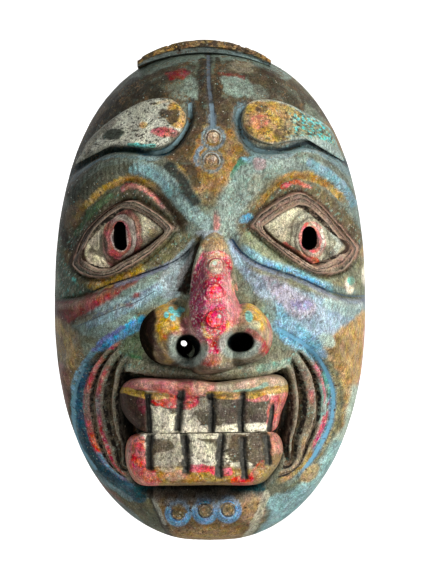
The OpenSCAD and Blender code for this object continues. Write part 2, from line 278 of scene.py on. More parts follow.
RIM_R = curve([(40, -23), (50, -28.5), (58, -34), (66, -43), (71.5, -54), (73.7, -66), (71.7, -80),
               (65.7, -93), (57, -106), (47, -114), (36, -120)])
INNER_L = curve([(-48, -44), (-51, -56), (-52, -70), (-50, -84), (-48, -94), (-50, -104)])
INNER_R = curve([(41, -43), (45, -56), (46, -70), (45.5, -82), (44, -92), (46, -102)])
MOUTH = curve([(-52, -48), (-30, -51.5), (0, -53.2), (30, -51.2), (45, -46), (48, -58), (49.5, -72),
               (48.5, -88), (45, -102), (38, -114), (24, -125), (-8, -128), (-40, -124), (-51, -110),
               (-55, -92), (-57, -76), (-55, -58)], 5, True)
# Height across the folds beside the mouth, from their rim (0) to the jaws (1)
FOLD_HEIGHTS = ((0.0, 0.0), (0.05, -1.6), (0.16, 1.6), (0.23, 0.8), (0.295, -5.5), (0.37, 1.4), (0.50, 0.8),
                (0.61, -6.0), (0.71, 0.6), (0.78, 0.8), (0.87, -5.0), (0.95, -1.0), (1.0, -1.0))
NOSE = even(curve([(2, 37), (8, 34), (12, 26), (16, 12), (20, -2), (29, -10), (36, -18), (38.5, -28),
                   (35, -39), (24, -46), (10, -49), (-4, -51), (-20, -48.5), (-34, -44), (-42, -33),
                   (-43, -22), (-37, -13), (-27, -6), (-19, -2.5), (-13.5, 0), (-11.5, 10), (-9, 21),
                   (-5, 31)], 8, True), 300)
CHIN = curve([(-37, -121), (34, -122), (28, -134), (21, -152), (-23, -152), (-29, -138)], 1, True)


def across_folds(u, v, rim, inner):
    """How far across the folds places lie, whether they lie on them, and where the rim is."""
    d, a = to_line(u, v, rim)
    share = d / np.maximum(0.1, d + to_line(u, v, inner)[0])
    return share, inside(u, v, np.vstack([rim, inner[::-1]])), d, a


def relief(u, v):
    """Height of the carving above the plain dome, in millimetres."""
    h = np.zeros(len(u))
    # Broad forms
    h -= 9 * bell(u, v, -53, 31, 34, 20, 12) + 9 * bell(u, v, 56, 34, 34, 20, -12)
    for line in (RIDGE_L, RIDGE_R):
        d, a = to_line(u, v, line)
        h += 5.5 * np.exp(-((d / 8.5) ** 2)) * ease(a, 0, 0.15) * (1 - 0.5 * ease(a, 0.85, 1))
    h += 4 * bell(u, v, 0, 58, 15, 22)
    h += 8 * bell(u, v, -52, -16, 26, 15, 15) + 8 * bell(u, v, 54, -14, 26, 15, -15)
    h += 3 * bell(u, v, -4, 120, 60, 16)
    # Eye rims: a rolled lid round each opening, with a fine line along it
    for hole, lid, fold in ((EYE_HOLE_L, LID_L, FOLD_L), (EYE_HOLE_R, LID_R, FOLD_R)):
        d_in, d_out = to_ring(u, v, hole), to_ring(u, v, lid)
        across = clamp(d_in / np.maximum(0.5, d_in - d_out))
        lid_on = (d_in > 0) & (d_out < 0)
        h += np.where(lid_on, 4.6 * np.sin(np.pi * clamp(0.12 + 0.88 * across)) ** 0.7, 0)
        h -= 1.3 * np.exp(-((d_out / 1.8) ** 2))
        h -= 7.5 * ease(-d_in, -0.6, 1.2)
        d, a = to_line(u, v, fold)
        edge = ease(a, 0, 0.1) * (1 - ease(a, 0.9, 1))
        h -= 3.0 * np.exp(-((d / 2.6) ** 2)) * edge
    # Brow panel grooves
    for line in (BROW_GROOVE_L, BROW_GROOVE_R):
        d, a = to_line(u, v, line)
        h -= 4.2 * np.exp(-((d / 2.4) ** 2)) * (1 - 0.6 * ease(a, 0.8, 1)) * ease(a, 0, 0.1)
    # Cheek grooves, and the step down from the eye to the cheek
    for line, depth in ((CHEEK_L, 1.8), (CHEEK_R, 2.0)):
        d, a = to_line(u, v, line)
        h -= depth * np.exp(-((d / 2.2) ** 2)) * (1 - 0.4 * ease(a, 0.7, 1))
        h += 2.2 * np.exp(-(((d - 5) / 4) ** 2)) * np.where(v < np.interp(
            u, np.sort(line[:, 0]), line[np.argsort(line[:, 0]), 1]), 1, 0)
    # Hollow beside the nose bridge
    h -= 7 * bell(u, v, -16, 16, 6, 17, -25) + 4 * bell(u, v, 18, 18, 6, 15, 25)
    # Mouth recess and the ridged folds beside it
    d_mouth = to_ring(u, v, MOUTH)
    h -= 9 * ease(-d_mouth, -0.4, 5)
    for rim, inner in ((RIM_L, INNER_L), (RIM_R, INNER_R)):
        share, on, d, a = across_folds(u, v, rim, inner)
        ends = ease(a, 0.10, 0.26) * (1 - ease(a, 0.84, 0.96))
        h -= 3.6 * np.exp(-((d / 2.6) ** 2)) * ends
        h += 3.5 * np.exp(-(((d - 9) / 5) ** 2)) * ends * ~inside(u, v, np.vstack([rim, [(0, -90)]]))
        h += on * ends * (np.interp(share, *zip(*FOLD_HEIGHTS)) - 2.5 * share)
    # Upper lip
    under_nose = 1 - 0.9 * ease(-to_ring(u, v, NOSE), 0, 4)
    h += 8 * bell(u, v, -2, -47, 50, 6.5) * (d_mouth > -1) * under_nose + 3 * bell(u, v, -46, -36, 14, 10)
    # Chin block and the hollow over it
    d_chin = to_ring(u, v, CHIN)
    h += 4.0 * ease(-d_chin, -1.0, 2.5)
    h -= 5 * bell(u, v, -8, -121, 40, 5)
    # Split down the forehead
    d, a = to_line(u, v, curve([(0, 142), (-1, 128), (1, 112), (1.5, 96)]))
    h -= 1.1 * np.exp(-((d / 1.1) ** 2)) * (1 - 0.4 * a)
    return h


def hand_work(p):
    """Uneven hand carving and weathered grain, in millimetres."""
    rough = 1.1 * (cloud(p, 22, 3, 11) - 0.5) + 0.5 * (cloud(p, 6, 2, 23) - 0.5)
    grain = noise(p * np.array([1.0, 0.6, 0.09]), 1.7, 41) - 0.5
    return rough + 0.28 * grain


# ---------------------------------------------------------------- meshes
def disc_grid(n, m):
    """Grid over the unit disc: radius, angle and quads of (n + 1) by (m + 1) points."""
    a, b = np.meshgrid(np.linspace(-1, 1, n + 1), np.linspace(-1, 1, m + 1), indexing="ij")
    x, z = a * np.sqrt(1 - b * b / 2), b * np.sqrt(1 - a * a / 2)
    return np.hypot(x, z).ravel().clip(0, 1), np.arctan2(z, x).ravel(), grid_quads(n, m)


def grid_quads(n, m, flip=False):
    i, j = np.meshgrid(np.arange(n), np.arange(m), indexing="ij")
    q = (i * (m + 1) + j).ravel()
    quads = np.stack([q, q + m + 1, q + m + 2, q + 1], -1)
    return quads[:, ::-1] if flip else quads


def grid_border(n, m):
    """Indices of the border of a grid, in order round it."""
    at = lambda i, j: i * (m + 1) + j
    return ([at(i, 0) for i in range(n)] + [at(n, j) for j in range(m)]
            + [at(i, m) for i in range(n, 0, -1)] + [at(0, j) for j in range(m, 0, -1)])


def new_object(name, data):
    obj = bpy.data.objects.new(name, data)
    bpy.context.scene.collection.objects.link(obj)
    return obj


def new_mesh(name, points, faces):
    """A mesh object, from points in millimetres."""
    mesh = bpy.data.meshes.new(name)
    mesh.from_pydata((np.asarray(points) * MM).tolist(), [], faces)
    mesh.update()
    return new_object(name, mesh)


def points_of(obj):
    """The points of a mesh object, in millimetres."""
    co = np.empty(len(obj.data.vertices) * 3, np.float32)
    obj.data.vertices.foreach_get("co", co)
    return co.reshape(-1, 3).astype(float) / MM


def tree_of(obj):
    """A tree to cast rays at a mesh object, in millimetres."""
    return BVHTree.FromPolygons(points_of(obj).tolist(), [list(f.vertices) for f in obj.data.polygons])


def clean(obj, weld=True):
    """Turns all faces outwards, and joins points that coincide."""
    bm = bmesh.new()
    bm.from_mesh(obj.data)
    if weld:
        bmesh.ops.remove_doubles(bm, verts=bm.verts, dist=WELD_REACH)
    bmesh.ops.recalc_face_normals(bm, faces=bm.faces)
    bm.to_mesh(obj.data)
    bm.free()
    return obj


def cut(obj, cutters):
    """Takes closed cutters out of an object."""
    bpy.context.view_layer.objects.active = obj
    for cutter in cutters:
        step = obj.modifiers.new("cut", "BOOLEAN")
        step.operation = "DIFFERENCE"
        step.solver = "MANIFOLD"
        step.object = cutter
    bpy.context.view_layer.update()
    done = bpy.data.meshes.new_from_object(obj.evaluated_get(bpy.context.evaluated_depsgraph_get()))
    obj.modifiers.clear()
    old = obj.data
    obj.data = done
    bpy.data.meshes.remove(old)
    for cutter in cutters:
        bpy.data.objects.remove(cutter)


def prism(name, ring, start, end, place=None):
    """Closed prism over a ring of (a, b) points, from one height to another, put in place."""
    ring = np.asarray(ring, float)
    n = len(ring)
    pts = np.vstack([np.column_stack([ring, np.full(n, start)]), np.column_stack([ring, np.full(n, end)])])
    faces = [list(range(n))[::-1], list(range(n, 2 * n))]
    faces += [[k, (k + 1) % n, n + (k + 1) % n, n + k] for k in range(n)]
    pts = np.column_stack([pts[:, 0], pts[:, 2], pts[:, 1]])
    if place is not None:
        pts = place(pts)
    return clean(new_mesh(name, pts, faces))


def turned(at, degrees):
    """Turns points about a vertical line and moves them there."""
    c, s = math.cos(math.radians(degrees)), math.sin(math.radians(degrees))

    def place(p):
        return np.column_stack([at[0] + p[:, 0] * c - p[:, 1] * s, at[1] + p[:, 0] * s + p[:, 1] * c,
                                at[2] + p[:, 2]])
    return place


def stadium(w, h, steps=14):
    r, half = w / 2, (h - w) / 2
    a = np.linspace(0, np.pi, steps)
    return np.vstack([np.column_stack([r * np.cos(a), half + r * np.sin(a)]),
                      np.column_stack([-r * np.cos(a), -half - r * np.sin(a)])])


def circle(r, n=32):
    a = np.linspace(0, 2 * np.pi, n, endpoint=False)
    return np.column_stack([r * np.cos(a), r * np.sin(a)])


# ---------------------------------------------------------------- holes that run through the parts
PUPILS = ((np.array([-52.7, -58.0, 31.6]), (7.0, 16.0), -20.0),
          (np.array([60.3, -58.0, 30.4]), (9.0, 13.0), 24.0))
NOSTRILS = ((np.array([-12.0, -100.0, -32.0]), (10.4, 10.4), 8.0),
            (np.array([17.7, -100.0, -29.6]), (10.4, 10.4), -13.0))
# In the shell all four are narrower, and the left air hole runs straight back
SHELL_BORES = ((PUPILS[0][0], (5.4, 15.0), -20.0), (PUPILS[1][0], (6.8, 12.0), 24.0),
               (np.array([-15.1, -100.0, -31.1]), (3.8, 3.8), 0.0), (NOSTRILS[1][0], (3.8, 3.8), -13.0))
# How far the bore cutters reach, before and behind the point that a bore is given by
BORE_REACH = (-45, 70)
# The hanger's mortise and the lugs' pockets: x from and to, z from and to, and depths
MORTISE = (-9.5, 9.5, 112.0, 140.5, 6.0)
LUG_ROOM = (64.4, 86.2, 13.4, 26.6, 2.8, 9.2)


def bore_cutters(bores):
    return [prism("bore", stadium(*size), *BORE_REACH, turned(at, slant)) for at, size, slant in bores]


def block_cutter(x0, x1, z0, z1, near, far):
    return prism("block", [(x0, z0), (x1, z0), (x1, z1), (x0, z1)], -far, -near)


def in_bore(p, bores, extra):
    """Whether points lie within some distance of the walls of bores."""
    hit = np.zeros(len(p), bool)
    for at, (w, h), slant in bores:
        c, s = math.cos(math.radians(slant)), math.sin(math.radians(slant))
        a = (p[:, 0] - at[0]) * c + (p[:, 1] - at[1]) * s
        b = np.maximum(0, np.abs(p[:, 2] - at[2]) - (h - w) / 2)
        hit |= np.hypot(a, b) < w / 2 + extra
    return hit


# ---------------------------------------------------------------- pieces
def arc_spacing(depth, radius, count=400):
    """Table from arc length (0 to 1) to the place along a section (0 to 1)."""
    t = np.sin(np.linspace(0, 1, count) * np.pi / 2)
    s = np.concatenate([[0], np.cumsum(np.hypot(np.diff(t) * radius, np.diff(dome(t, depth))))])
    return s / s[-1], t


def blur(grid, size):
    for axis in (0, 1):
        total = np.zeros_like(grid)
        for k in range(-size, size + 1):
            total += np.roll(grid, k, axis)
        grid = total / (2 * size + 1)
    return grid


# Cells across and down the front of the shell and its hollow
FRONT_CELLS = ((250, 335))
HOLLOW_CELLS = (84, 112)


def make_shell():
    n, m = FRONT_CELLS
    radius, angle, quads = disc_grid(n, m)
    t = np.interp(radius, *arc_spacing(DEPTH, radius=120.0))
    px, pz = outline(angle, HALF_W, TOP_REACH, LOW_REACH)
    x, z = t * px, np.maximum(MID_Z + t * pz, CHIN_Z)
    d = dome(t, DEPTH)
    base = np.column_stack([x, -d, z])
    grid = base.reshape(n + 1, m + 1, 3)
    normal = np.cross(np.gradient(grid, axis=0), np.gradient(grid, axis=1)).reshape(-1, 3)
    normal /= np.maximum(1e-9, np.linalg.norm(normal, axis=1))[:, None]
    normal *= np.where(normal[:, 1] > 0, -1, 1)[:, None]
    u, v = plan(x, z, d)
    fade = 1 - ease(t, 0.93, 1.0)
    lift = relief(u, v) * fade + hand_work(base) * (0.35 + 0.65 * fade)
    front = base + normal * np.where(t >= 1, 0, lift)[:, None]
    front[:, 1] = np.minimum(front[:, 1], 0)
    hollow_depth = blur(lift.reshape(n + 1, m + 1), 3).ravel() - lift

    k, l = HOLLOW_CELLS
    radius, angle, back_quads = disc_grid(k, l)
    t2 = np.interp(radius, *arc_spacing(HOLLOW_DEPTH, radius=100.0))
    hx, hz = outline(angle, HALF_W - RIM_W, HOLLOW_TOP, HOLLOW_LOW)
    hollow = np.column_stack([t2 * hx, -dome(t2, HOLLOW_DEPTH), MID_Z + t2 * hz])
    gouge = np.abs(np.sin(hollow[:, 0] / 5.5 + 2.5 * noise(hollow, 40, 5))
                   * np.sin(hollow[:, 2] / 17 + 2.5 * noise(hollow, 30, 6)))
    hollow[:, 1] += np.where(t2 < 1, 1, 0) * (0.9 * gouge - 0.5) * (1 - ease(t2, 0.9, 1.0))

    faces = quads.tolist() + (back_quads[:, ::-1] + len(front)).tolist()
    obj = new_mesh("carved_shell", np.vstack([front, hollow]), faces)
    bm = bmesh.new()
    bm.from_mesh(obj.data)
    bm.verts.ensure_lookup_table()
    loops = []
    for border in (grid_border(n, m), [len(front) + q for q in grid_border(k, l)]):
        for a, b in zip(border, border[1:] + border[:1]):
            loops.append(bm.edges.get((bm.verts[a], bm.verts[b])))
    bmesh.ops.triangle_fill(bm, use_beauty=True, use_dissolve=False, edges=loops, normal=(0, 1, 0))
    bmesh.ops.recalc_face_normals(bm, faces=bm.faces)
    bm.to_mesh(obj.data)
    bm.free()
    return obj, front, quads, hollow_depth


shell, SHELL_FRONT, SHELL_QUADS, SHELL_CAVITY = make_shell()
SHELL_TREE = BVHTree.FromPolygons(SHELL_FRONT.tolist(), SHELL_QUADS.tolist())
EYE_POINT = Vector((0.0, -VIEW_DISTANCE, 0.0))


def surface(u, v, tree=None):
    """How far the carved shell stands before the rim plane at places in the plan."""
    out = np.zeros(len(u))
    for k in range(len(u)):
        way = Vector((u[k] * PLAN_SCALE, VIEW_DISTANCE, v[k] * PLAN_SCALE)).normalized()
        hit = (tree or SHELL_TREE).ray_cast(EYE_POINT, way)
        out[k] = -hit[0].y if hit[0] is not None else 0.0
    return out


def pillow(name, ring, centre, front, back, rings=50, spread=1.0):
    """Closed piece over an outline in the plan, between front(u, v, t) and back(u, v) distances."""
    ring = np.asarray(ring, float)
    n = len(ring)
    centre = np.asarray(centre, float)
    t = np.sin(np.linspace(0, 1, rings + 1)[1:] ** spread * np.pi / 2)
    t_back = np.array([1.0, 0.75, 0.5, 0.25])
    flat = [centre + s * (ring - centre) for s in t]
    uv = np.vstack([[centre]] + flat)
    tt = np.concatenate([[0], np.repeat(t, n)])
    d = front(uv[:, 0], uv[:, 1], tt)
    x, z = unplan(uv[:, 0], uv[:, 1], d)
    pts = [np.column_stack([x, -d, z])]
    uv_b = np.vstack([centre + s * (ring - centre) for s in t_back] + [[centre]])
    edge_x, edge_z = x[-n:], z[-n:]
    cx, cz = x[0], z[0]
    bx = np.concatenate([cx + s * (edge_x - cx) for s in t_back] + [[cx]])
    bz = np.concatenate([cz + s * (edge_z - cz) for s in t_back] + [[cz]])
    bd = back(uv_b[:, 0], uv_b[:, 1])
    bd[:n] = np.minimum(bd[:n], d[-n:] - 0.05)
    pts.append(np.column_stack([bx, -bd, bz]))
    total = rings + len(t_back)
    faces = [[0, 1 + (j + 1) % n, 1 + j] for j in range(n)]
    for i in range(total - 1):
        a = 1 + i * n
        faces += [[a + j, a + (j + 1) % n, a + n + (j + 1) % n, a + n + j] for j in range(n)]
    last = 1 + total * n
    faces += [[last, last - n + j, last - n + (j + 1) % n] for j in range(n)]
    return clean(new_mesh(name, np.vstack(pts), faces), weld=False)


def moved(ring, out):
    """A closed outline pushed outwards by a distance."""
    ring = np.asarray(ring, float)
    step = np.roll(ring, -1, 0) - np.roll(ring, 1, 0)
    step /= np.maximum(1e-9, np.linalg.norm(step, axis=1))[:, None]
    area = np.sum(ring[:, 0] * np.roll(ring[:, 1], -1) - ring[:, 1] * np.roll(ring[:, 0], -1))
    side = np.column_stack([step[:, 1], -step[:, 0]]) * (1 if area > 0 else -1)
    return ring + side * out


# ---------------------------------------------------------------- nose
NOSE_AT = (0.5, -20.0)
NOSE_SEAT = 64.0
NOSTRIL_RIMS = ((-12.8, -33.8, 8.9, 8.4, -28), (18.6, -31.2, 9.6, 7.2, 8))
NOSE_RINGS = ((4.0, 14.5, 4.9), (3.0, -1.5, 5.7), (3.0, -17.5, 5.6))


def nose_form(u, v):
    """Nose alone, as a distance before the rim plane."""
    rise = ease(-v, -38, 12)
    ridge = 70 + 34 * rise
    width = 7.5 + 5.5 * ease(-v, -30, 12)
    bridge = ridge - 26 * (np.abs(u - 2.2) / width) ** 2.6 * (0.35 + 0.65 * rise)
    tip = 76 + 34.5 * np.sqrt(clamp(1 - ((u - 1.8) / 17.5) ** 2 - ((v + 19) / 25) ** 2))
    wing_l = 69 + 31 * np.sqrt(clamp(1 - ((u + 24.5) / 19) ** 2 - ((v + 27) / 19) ** 2))
    wing_r = 69 + 30 * np.sqrt(clamp(1 - ((u - 23) / 16) ** 2 - ((v + 26) / 18.5) ** 2))
    d = smooth_max(bridge, tip, 6.0)
    wings = np.maximum(wing_l, wing_r)
    d = smooth_max(d, wings, 3.5)
    # Nostrils: a soft pale rim round a funnel
    for cx, cz, rx, rz, tilt in NOSTRIL_RIMS:
        a, b = tilted(u, v, cx, cz, tilt)
        q = np.sqrt((a / rx) ** 2 + (b / rz) ** 2)
        d += 2.2 * np.exp(-(((q - 1.28) / 0.24) ** 2))
        d -= 17 * (1 - ease(q, 0.35, 0.98))
    # Fine creases beside the wings
    d -= 1.2 * np.exp(-(((u + 14.5 + 0.25 * (v + 20)) / 1.6) ** 2)) * bell(u, v, -14, -16, 60, 9)
    return d


def nose_depth(u, v, t):
    d = nose_form(u, v)
    d += 0.45 * (cloud(np.column_stack([u, d * 0.4, v]), 9, 3, 61) - 0.5) * 2
    for cx, cz, r in NOSE_RINGS:
        q = np.hypot(u - cx, v - cz)
        d -= 0.9 * np.exp(-(((q - r - 0.5) / 0.55) ** 2))
    floor = surface(u, v) - 2.5
    edge = 1 - ease(t, 0.9, 1.0)
    return np.maximum(floor, floor + (d - floor) * edge ** 0.6)


nose = pillow("carved_nose", NOSE, NOSE_AT, nose_depth, lambda u, v: np.full(len(u), NOSE_SEAT), rings=88,
              spread=0.9)
NOSE_TREE = tree_of(nose)


# ---------------------------------------------------------------- jaws
UPPER = even(curve([(-50, -55), (-42, -52.5), (-26, -52.6), (-10, -52.8), (3, -55), (18, -53.2), (38, -50.4),
                    (46, -54), (47, -62), (43, -73), (38, -84.6), (20, -85.2), (0, -85.4), (-20, -85.6),
                    (-37, -85.4), (-47, -80), (-53, -71), (-54, -61)], 6, True), 430)
LOWER = even(curve([(-37, -86.0), (-20, -86.2), (0, -86), (20, -85.8), (38, -85.4), (43.5, -92), (43, -100),
                    (38, -109), (28, -116.6), (0, -117), (-26, -117.4), (-42, -116.6), (-49, -108),
                    (-50.6, -96), (-47.5, -88)], 6, True), 430)
JAW_SEAT = 56.0
UPPER_GAPS = ((-36.5, -61, -85, 1.9), (-18.0, -59.5, -84, 2.4), (0.6, -61, -84.5, 2.3),
              (19.5, -60, -84.5, 2.1), (36.5, -68, -85, 1.7))
LOWER_GAPS = ((-35.5, -86, -107, 2.4), (-14.8, -86, -109, 2.6), (6.6, -86, -111.5, 2.6),
              (20.4, -88, -112.5, 2.4), (34.2, -86, -104, 2.2))


def lip_line(u):
    """Where the lower edge of the upper lip runs."""
    return -61.4 - 2.0 * np.exp(-(((u + 4) / 22) ** 2)) + 0.0016 * (u + 4) ** 2


def round_jaw(d, t, round_off):
    """Rounds a jaw down to its seat near its outline."""
    d = JAW_SEAT + (d - JAW_SEAT) * (1 - round_off * (1 - clamp(1 - t ** 16) ** 0.42))
    return d - 1.8 * ease(t, 0.9, 1.0) * round_off


def upper_depth(u, v, t):
    d = 85.0 - 0.0055 * (u + 4) ** 2 + 1.0 * np.sin((v + 74) / 9)
    edge = lip_line(u)
    lip = ease(v, edge - 1.2, edge + 0.6)
    d += lip * (2.6 + 2.0 * np.sin(np.pi * clamp((v - edge) / 9.5)))
    d -= 0.9 * np.exp(-(((v - edge + 1.8) / 1.0) ** 2))
    d -= 1.3 * lip * np.exp(-(((u + 9) / 1.6) ** 2)) * 0.6
    for x, top, low, w in UPPER_GAPS:
        bend = x + 0.03 * (v + 74) + 0.8 * np.sin((v + x) / 7)
        groove = 3.4 * np.exp(-((np.abs(u - bend) / w) ** 3))
        d -= groove * ease(-v, -top - 1, -top + 3) * (1 - ease(-v, -low, -low + 2))
    d += 0.5 * (plan_cloud(u, v, 5, 3, 71) - 0.5) * 2
    return round_jaw(d, t, 1 - 0.97 * ease(-v, 80, 83.5) * ease(-np.abs(u + 8), -46, -40))


def lower_depth(u, v, t):
    d = 83.6 - 0.0055 * (u + 4) ** 2
    lip = ease(-v, 106.5, 109)
    d += lip * 1.6 * np.sin(np.pi * clamp((-v - 106.5) / 13))
    d -= 0.8 * np.exp(-(((v + 107) / 1.0) ** 2))
    for x, top, low, w in LOWER_GAPS:
        bend = x + 0.8 * np.sin((v - x) / 8)
        groove = 3.2 * np.exp(-((np.abs(u - bend) / w) ** 3))
        d -= groove * ease(-v, -top - 1, -top + 1) * (1 - ease(-v, -low, -low + 3))
    d += 0.5 * (plan_cloud(u, v, 5, 3, 73) - 0.5) * 2
    return round_jaw(d, t, 1 - 0.97 * ease(v, -91, -87.5) * ease(-np.abs(u + 3), -42, -36))


def jaw_back(u, v):
    return 53.5 - 0.0042 * (u + 4) ** 2


upper = pillow("carved_upper_jaw", UPPER, (-3.5, -69.5), upper_depth, jaw_back, rings=62)
lower = pillow("carved_lower_jaw", LOWER, (-3.5, -101.0), lower_depth, jaw_back, rings=62)

# ---------------------------------------------------------------- eyes
IRIS = (((-55.3, 30.8), 8.6, 13.6, -4), ((61.6, 30.2), 8.8, 11.6, 10))


def eye_piece(name, hole, k):
    ring = even(moved(hole, 2.6), 260)
    centre = ring.mean(0)
    (ix, iz), rx, rz, tilt = IRIS[k]
    rim = moved(hole, 1.5)
    lids = surface(rim[:, 0], rim[:, 1])
    a = np.column_stack([rim[:, 0], rim[:, 1], np.ones(len(rim)), rim[:, 0] * rim[:, 1]])
    fit = np.linalg.lstsq(a, lids, rcond=None)[0]

    def front(u, v, t):
        level = fit[0] * u + fit[1] * v + fit[2] + fit[3] * u * v
        d = level - 5.6 + 7.0 * np.sqrt(clamp(1 - t * t * 0.98)) + 1.2 * bell(u, v, ix, iz, 12, 14)
        p, q = tilted(u, v, ix, iz, tilt)
        r = np.sqrt((p / rx) ** 2 + (q / rz) ** 2)
        for at, wide, deep in ((0.62, 0.07, 0.5), (0.98, 0.06, 0.7), (1.28, 0.05, 0.35), (1.5, 0.05, 0.3)):
            uneven = 0.6 + 0.4 * np.sin(3 * np.arctan2(q, p) + at * 9)
            d -= deep * np.exp(-(((r - at) / wide) ** 2)) * uneven
        return d + 0.3 * (plan_cloud(u, v, 6, 3, 81 + k) - 0.5)

    def back(u, v):
        level = fit[0] * u + fit[1] * v + fit[2] + fit[3] * u * v
        return level - 11.0

    return pillow(name, ring, centre, front, back, rings=84)


eye_l = eye_piece("carved_eye_left", EYE_HOLE_L, 0)
eye_r = eye_piece("carved_eye_right", EYE_HOLE_R, 1)

# ---------------------------------------------------------------- brows
BROW_L = even(curve([(-14, 106), (-15, 98), (-21, 90), (-32, 84.6), (-46, 85.4), (-60, 85.6), (-73, 80),
                     (-81, 75.5), (-77.5, 82), (-73, 90), (-64, 99), (-50, 109), (-36, 115), (-22, 115)], 6,
                    True), 300)
BROW_R = even(curve([(18.5, 104), (20, 96), (27, 90), (38, 87), (50, 89.4), (62, 89.4), (72, 86), (80.5, 77),
                     (77.5, 85), (72, 97.5), (57, 107), (47, 112), (35, 115), (23, 113)], 6, True), 300)


def brow_piece(name, ring, centre):
    def front(u, v, t):
        d = surface(u, v)
        lean = ease(-v, -112, -84)
        d = d + (1.2 + 2.6 * lean) * clamp(1 - t ** 6) ** 0.5 - 1.0 * ease(t, 0.93, 1)
        return d + 0.5 * (plan_cloud(u, v, 7, 3, 91) - 0.5) - 0.5 * bell(u, v, -58, 93, 6, 3, 20)

    return pillow(name, ring, centre, front, lambda u, v: np.maximum(surface(u, v) - 1.6, 0.3), rings=40)


brow_l = brow_piece("carved_brow_left", BROW_L, (-40, 97))
brow_r = brow_piece("carved_brow_right", BROW_R, (44, 99.5))


# ---------------------------------------------------------------- crest
CREST_MID = -3.5
CREST_TOP_R = 72.7
CREST_TOP_Z = 77.3
CREST_INNER_R = 100.0
CREST_INNER_Z = 42.0


def crest_piece():
    n = 200
    low, high = box_mm("crest")
    x = np.linspace(low[0], high[0], n + 1)
    section = ([(0.4, 1.0), (6.0, 1.0), (12.0, 1.0), (16.0, 1.0), (19.0, 0.99)]
               + [(19.4 + 2.4 * math.sin(a), 0.78 + 0.21 * math.cos(a)) for a in np.linspace(0.25, 1.45, 7)]
               + [(21.8, f) for f in np.linspace(0.7, 0.46, 6)]
               + [(21.2, 0.43), (20.2, 0.40), (19.9, 0.3), (19.9, 0.18), (19.9, 0.04), (19.0, 0.0),
                  (12.0, 0.0), (6.0, 0.0), (0.4, 0.0)])
    section = np.array(section)
    m = len(section)
    top = high[2] - CREST_TOP_R + np.sqrt(CREST_TOP_R ** 2 - (x - CREST_MID) ** 2)
    inner = CREST_INNER_Z + np.sqrt(CREST_INNER_R ** 2 - (x - CREST_MID) ** 2)
    xx = np.repeat(x, m)
    dd = np.tile(section[:, 0], n + 1)
    ff = np.tile(section[:, 1], n + 1)
    zz = np.repeat(inner, m) + ff * np.repeat(top - inner, m)
    p = np.column_stack([xx, -dd, zz])
    chip = cloud(p, 6, 3, 33)
    bite = ease(chip, 0.56, 0.75) * (ff > 0.5) * (dd > 14)
    p[:, 2] -= 1.6 * bite
    p[:, 1] += 0.9 * bite + 0.5 * (cloud(p, 9, 2, 35) - 0.5) * (dd > 14)
    p[:, 2] = np.minimum(p[:, 2], high[2])
    faces = [[i * m + j, i * m + (j + 1) % m, (i + 1) * m + (j + 1) % m, (i + 1) * m + j]
             for i in range(n) for j in range(m)]
    faces += [list(range(m)), list(range(n * m, (n + 1) * m))[::-1]]
    return clean(new_mesh("carved_crest", p, faces))


crest = crest_piece()


# ---------------------------------------------------------------- round peg heads
def peg_piece(name, cx, cz, r, tree, seed):
    ring = circle(r, 72) + (cx, cz)

    def front(u, v, t):
        d = surface(u, v, tree)
        d = np.where(d < 1, np.max(d), d)
        level = np.median(d[t < 0.97])
        d = 0.45 * d + 0.55 * level
        ring_line = 0.55 * np.exp(-(((t - 0.74) / 0.07) ** 2)) + 0.3 * np.exp(-(((t - 0.42) / 0.06) ** 2))
        return d + 0.9 * clamp(1 - t ** 5) ** 0.5 - ring_line + 0.25 * (plan_cloud(u, v, 2.5, 2, seed) - 0.5)

    def back(u, v):
        d = surface(u, v, tree)
        return np.full(len(u), np.median(d[d > 1]) - 7)

    return pillow(name, ring, (cx, cz), front, back, rings=30)


STUD_RINGS = {"forehead": ((2.0, 91.5, 5.3), (1.0, 77.5, 5.4)),
              "chin": ((-19.0, -134.0, 5.9), (-2.8, -132.6, 6.0), (11.0, -132.0, 5.9))}


def joined(name, parts):
    bm = bmesh.new()
    for part in parts:
        bm.from_mesh(part.data)
        bpy.data.objects.remove(part)
    mesh = bpy.data.meshes.new(name)
    bm.to_mesh(mesh)
    bm.free()
    return new_object(name, mesh)


def peg_heads(name, rings, tree, seed):
    return joined(name, [peg_piece("peg", *ring, tree, seed + k) for k, ring in enumerate(rings)])


nose_pegs = peg_heads("nose_peg_heads", NOSE_RINGS, NOSE_TREE, 101)
forehead_pegs = peg_heads("forehead_peg_heads", STUD_RINGS["forehead"], None, 111)
chin_pegs = peg_heads("chin_peg_heads", STUD_RINGS["chin"], None, 121)

# ---------------------------------------------------------------- holes cut
x0, x1, z0, z1, deep = MORTISE
lx0, lx1, lz0, lz1, near, far = LUG_ROOM
cut(shell, bore_cutters(SHELL_BORES)
    + [block_cutter(x0, x1, z0, z1, -2.0, deep), block_cutter(lx0, lx1, lz0, lz1, near, far),
       block_cutter(-lx1, -lx0, lz0, lz1, near, far)])
cut(eye_l, bore_cutters(PUPILS[:1]))
cut(eye_r, bore_cutters(PUPILS[1:]))
cut(nose, bore_cutters(NOSTRILS))


# ---------------------------------------------------------------- paint
PAINT_GAIN = 1.3
OLD_WOOD = (0.060, 0.036, 0.020)


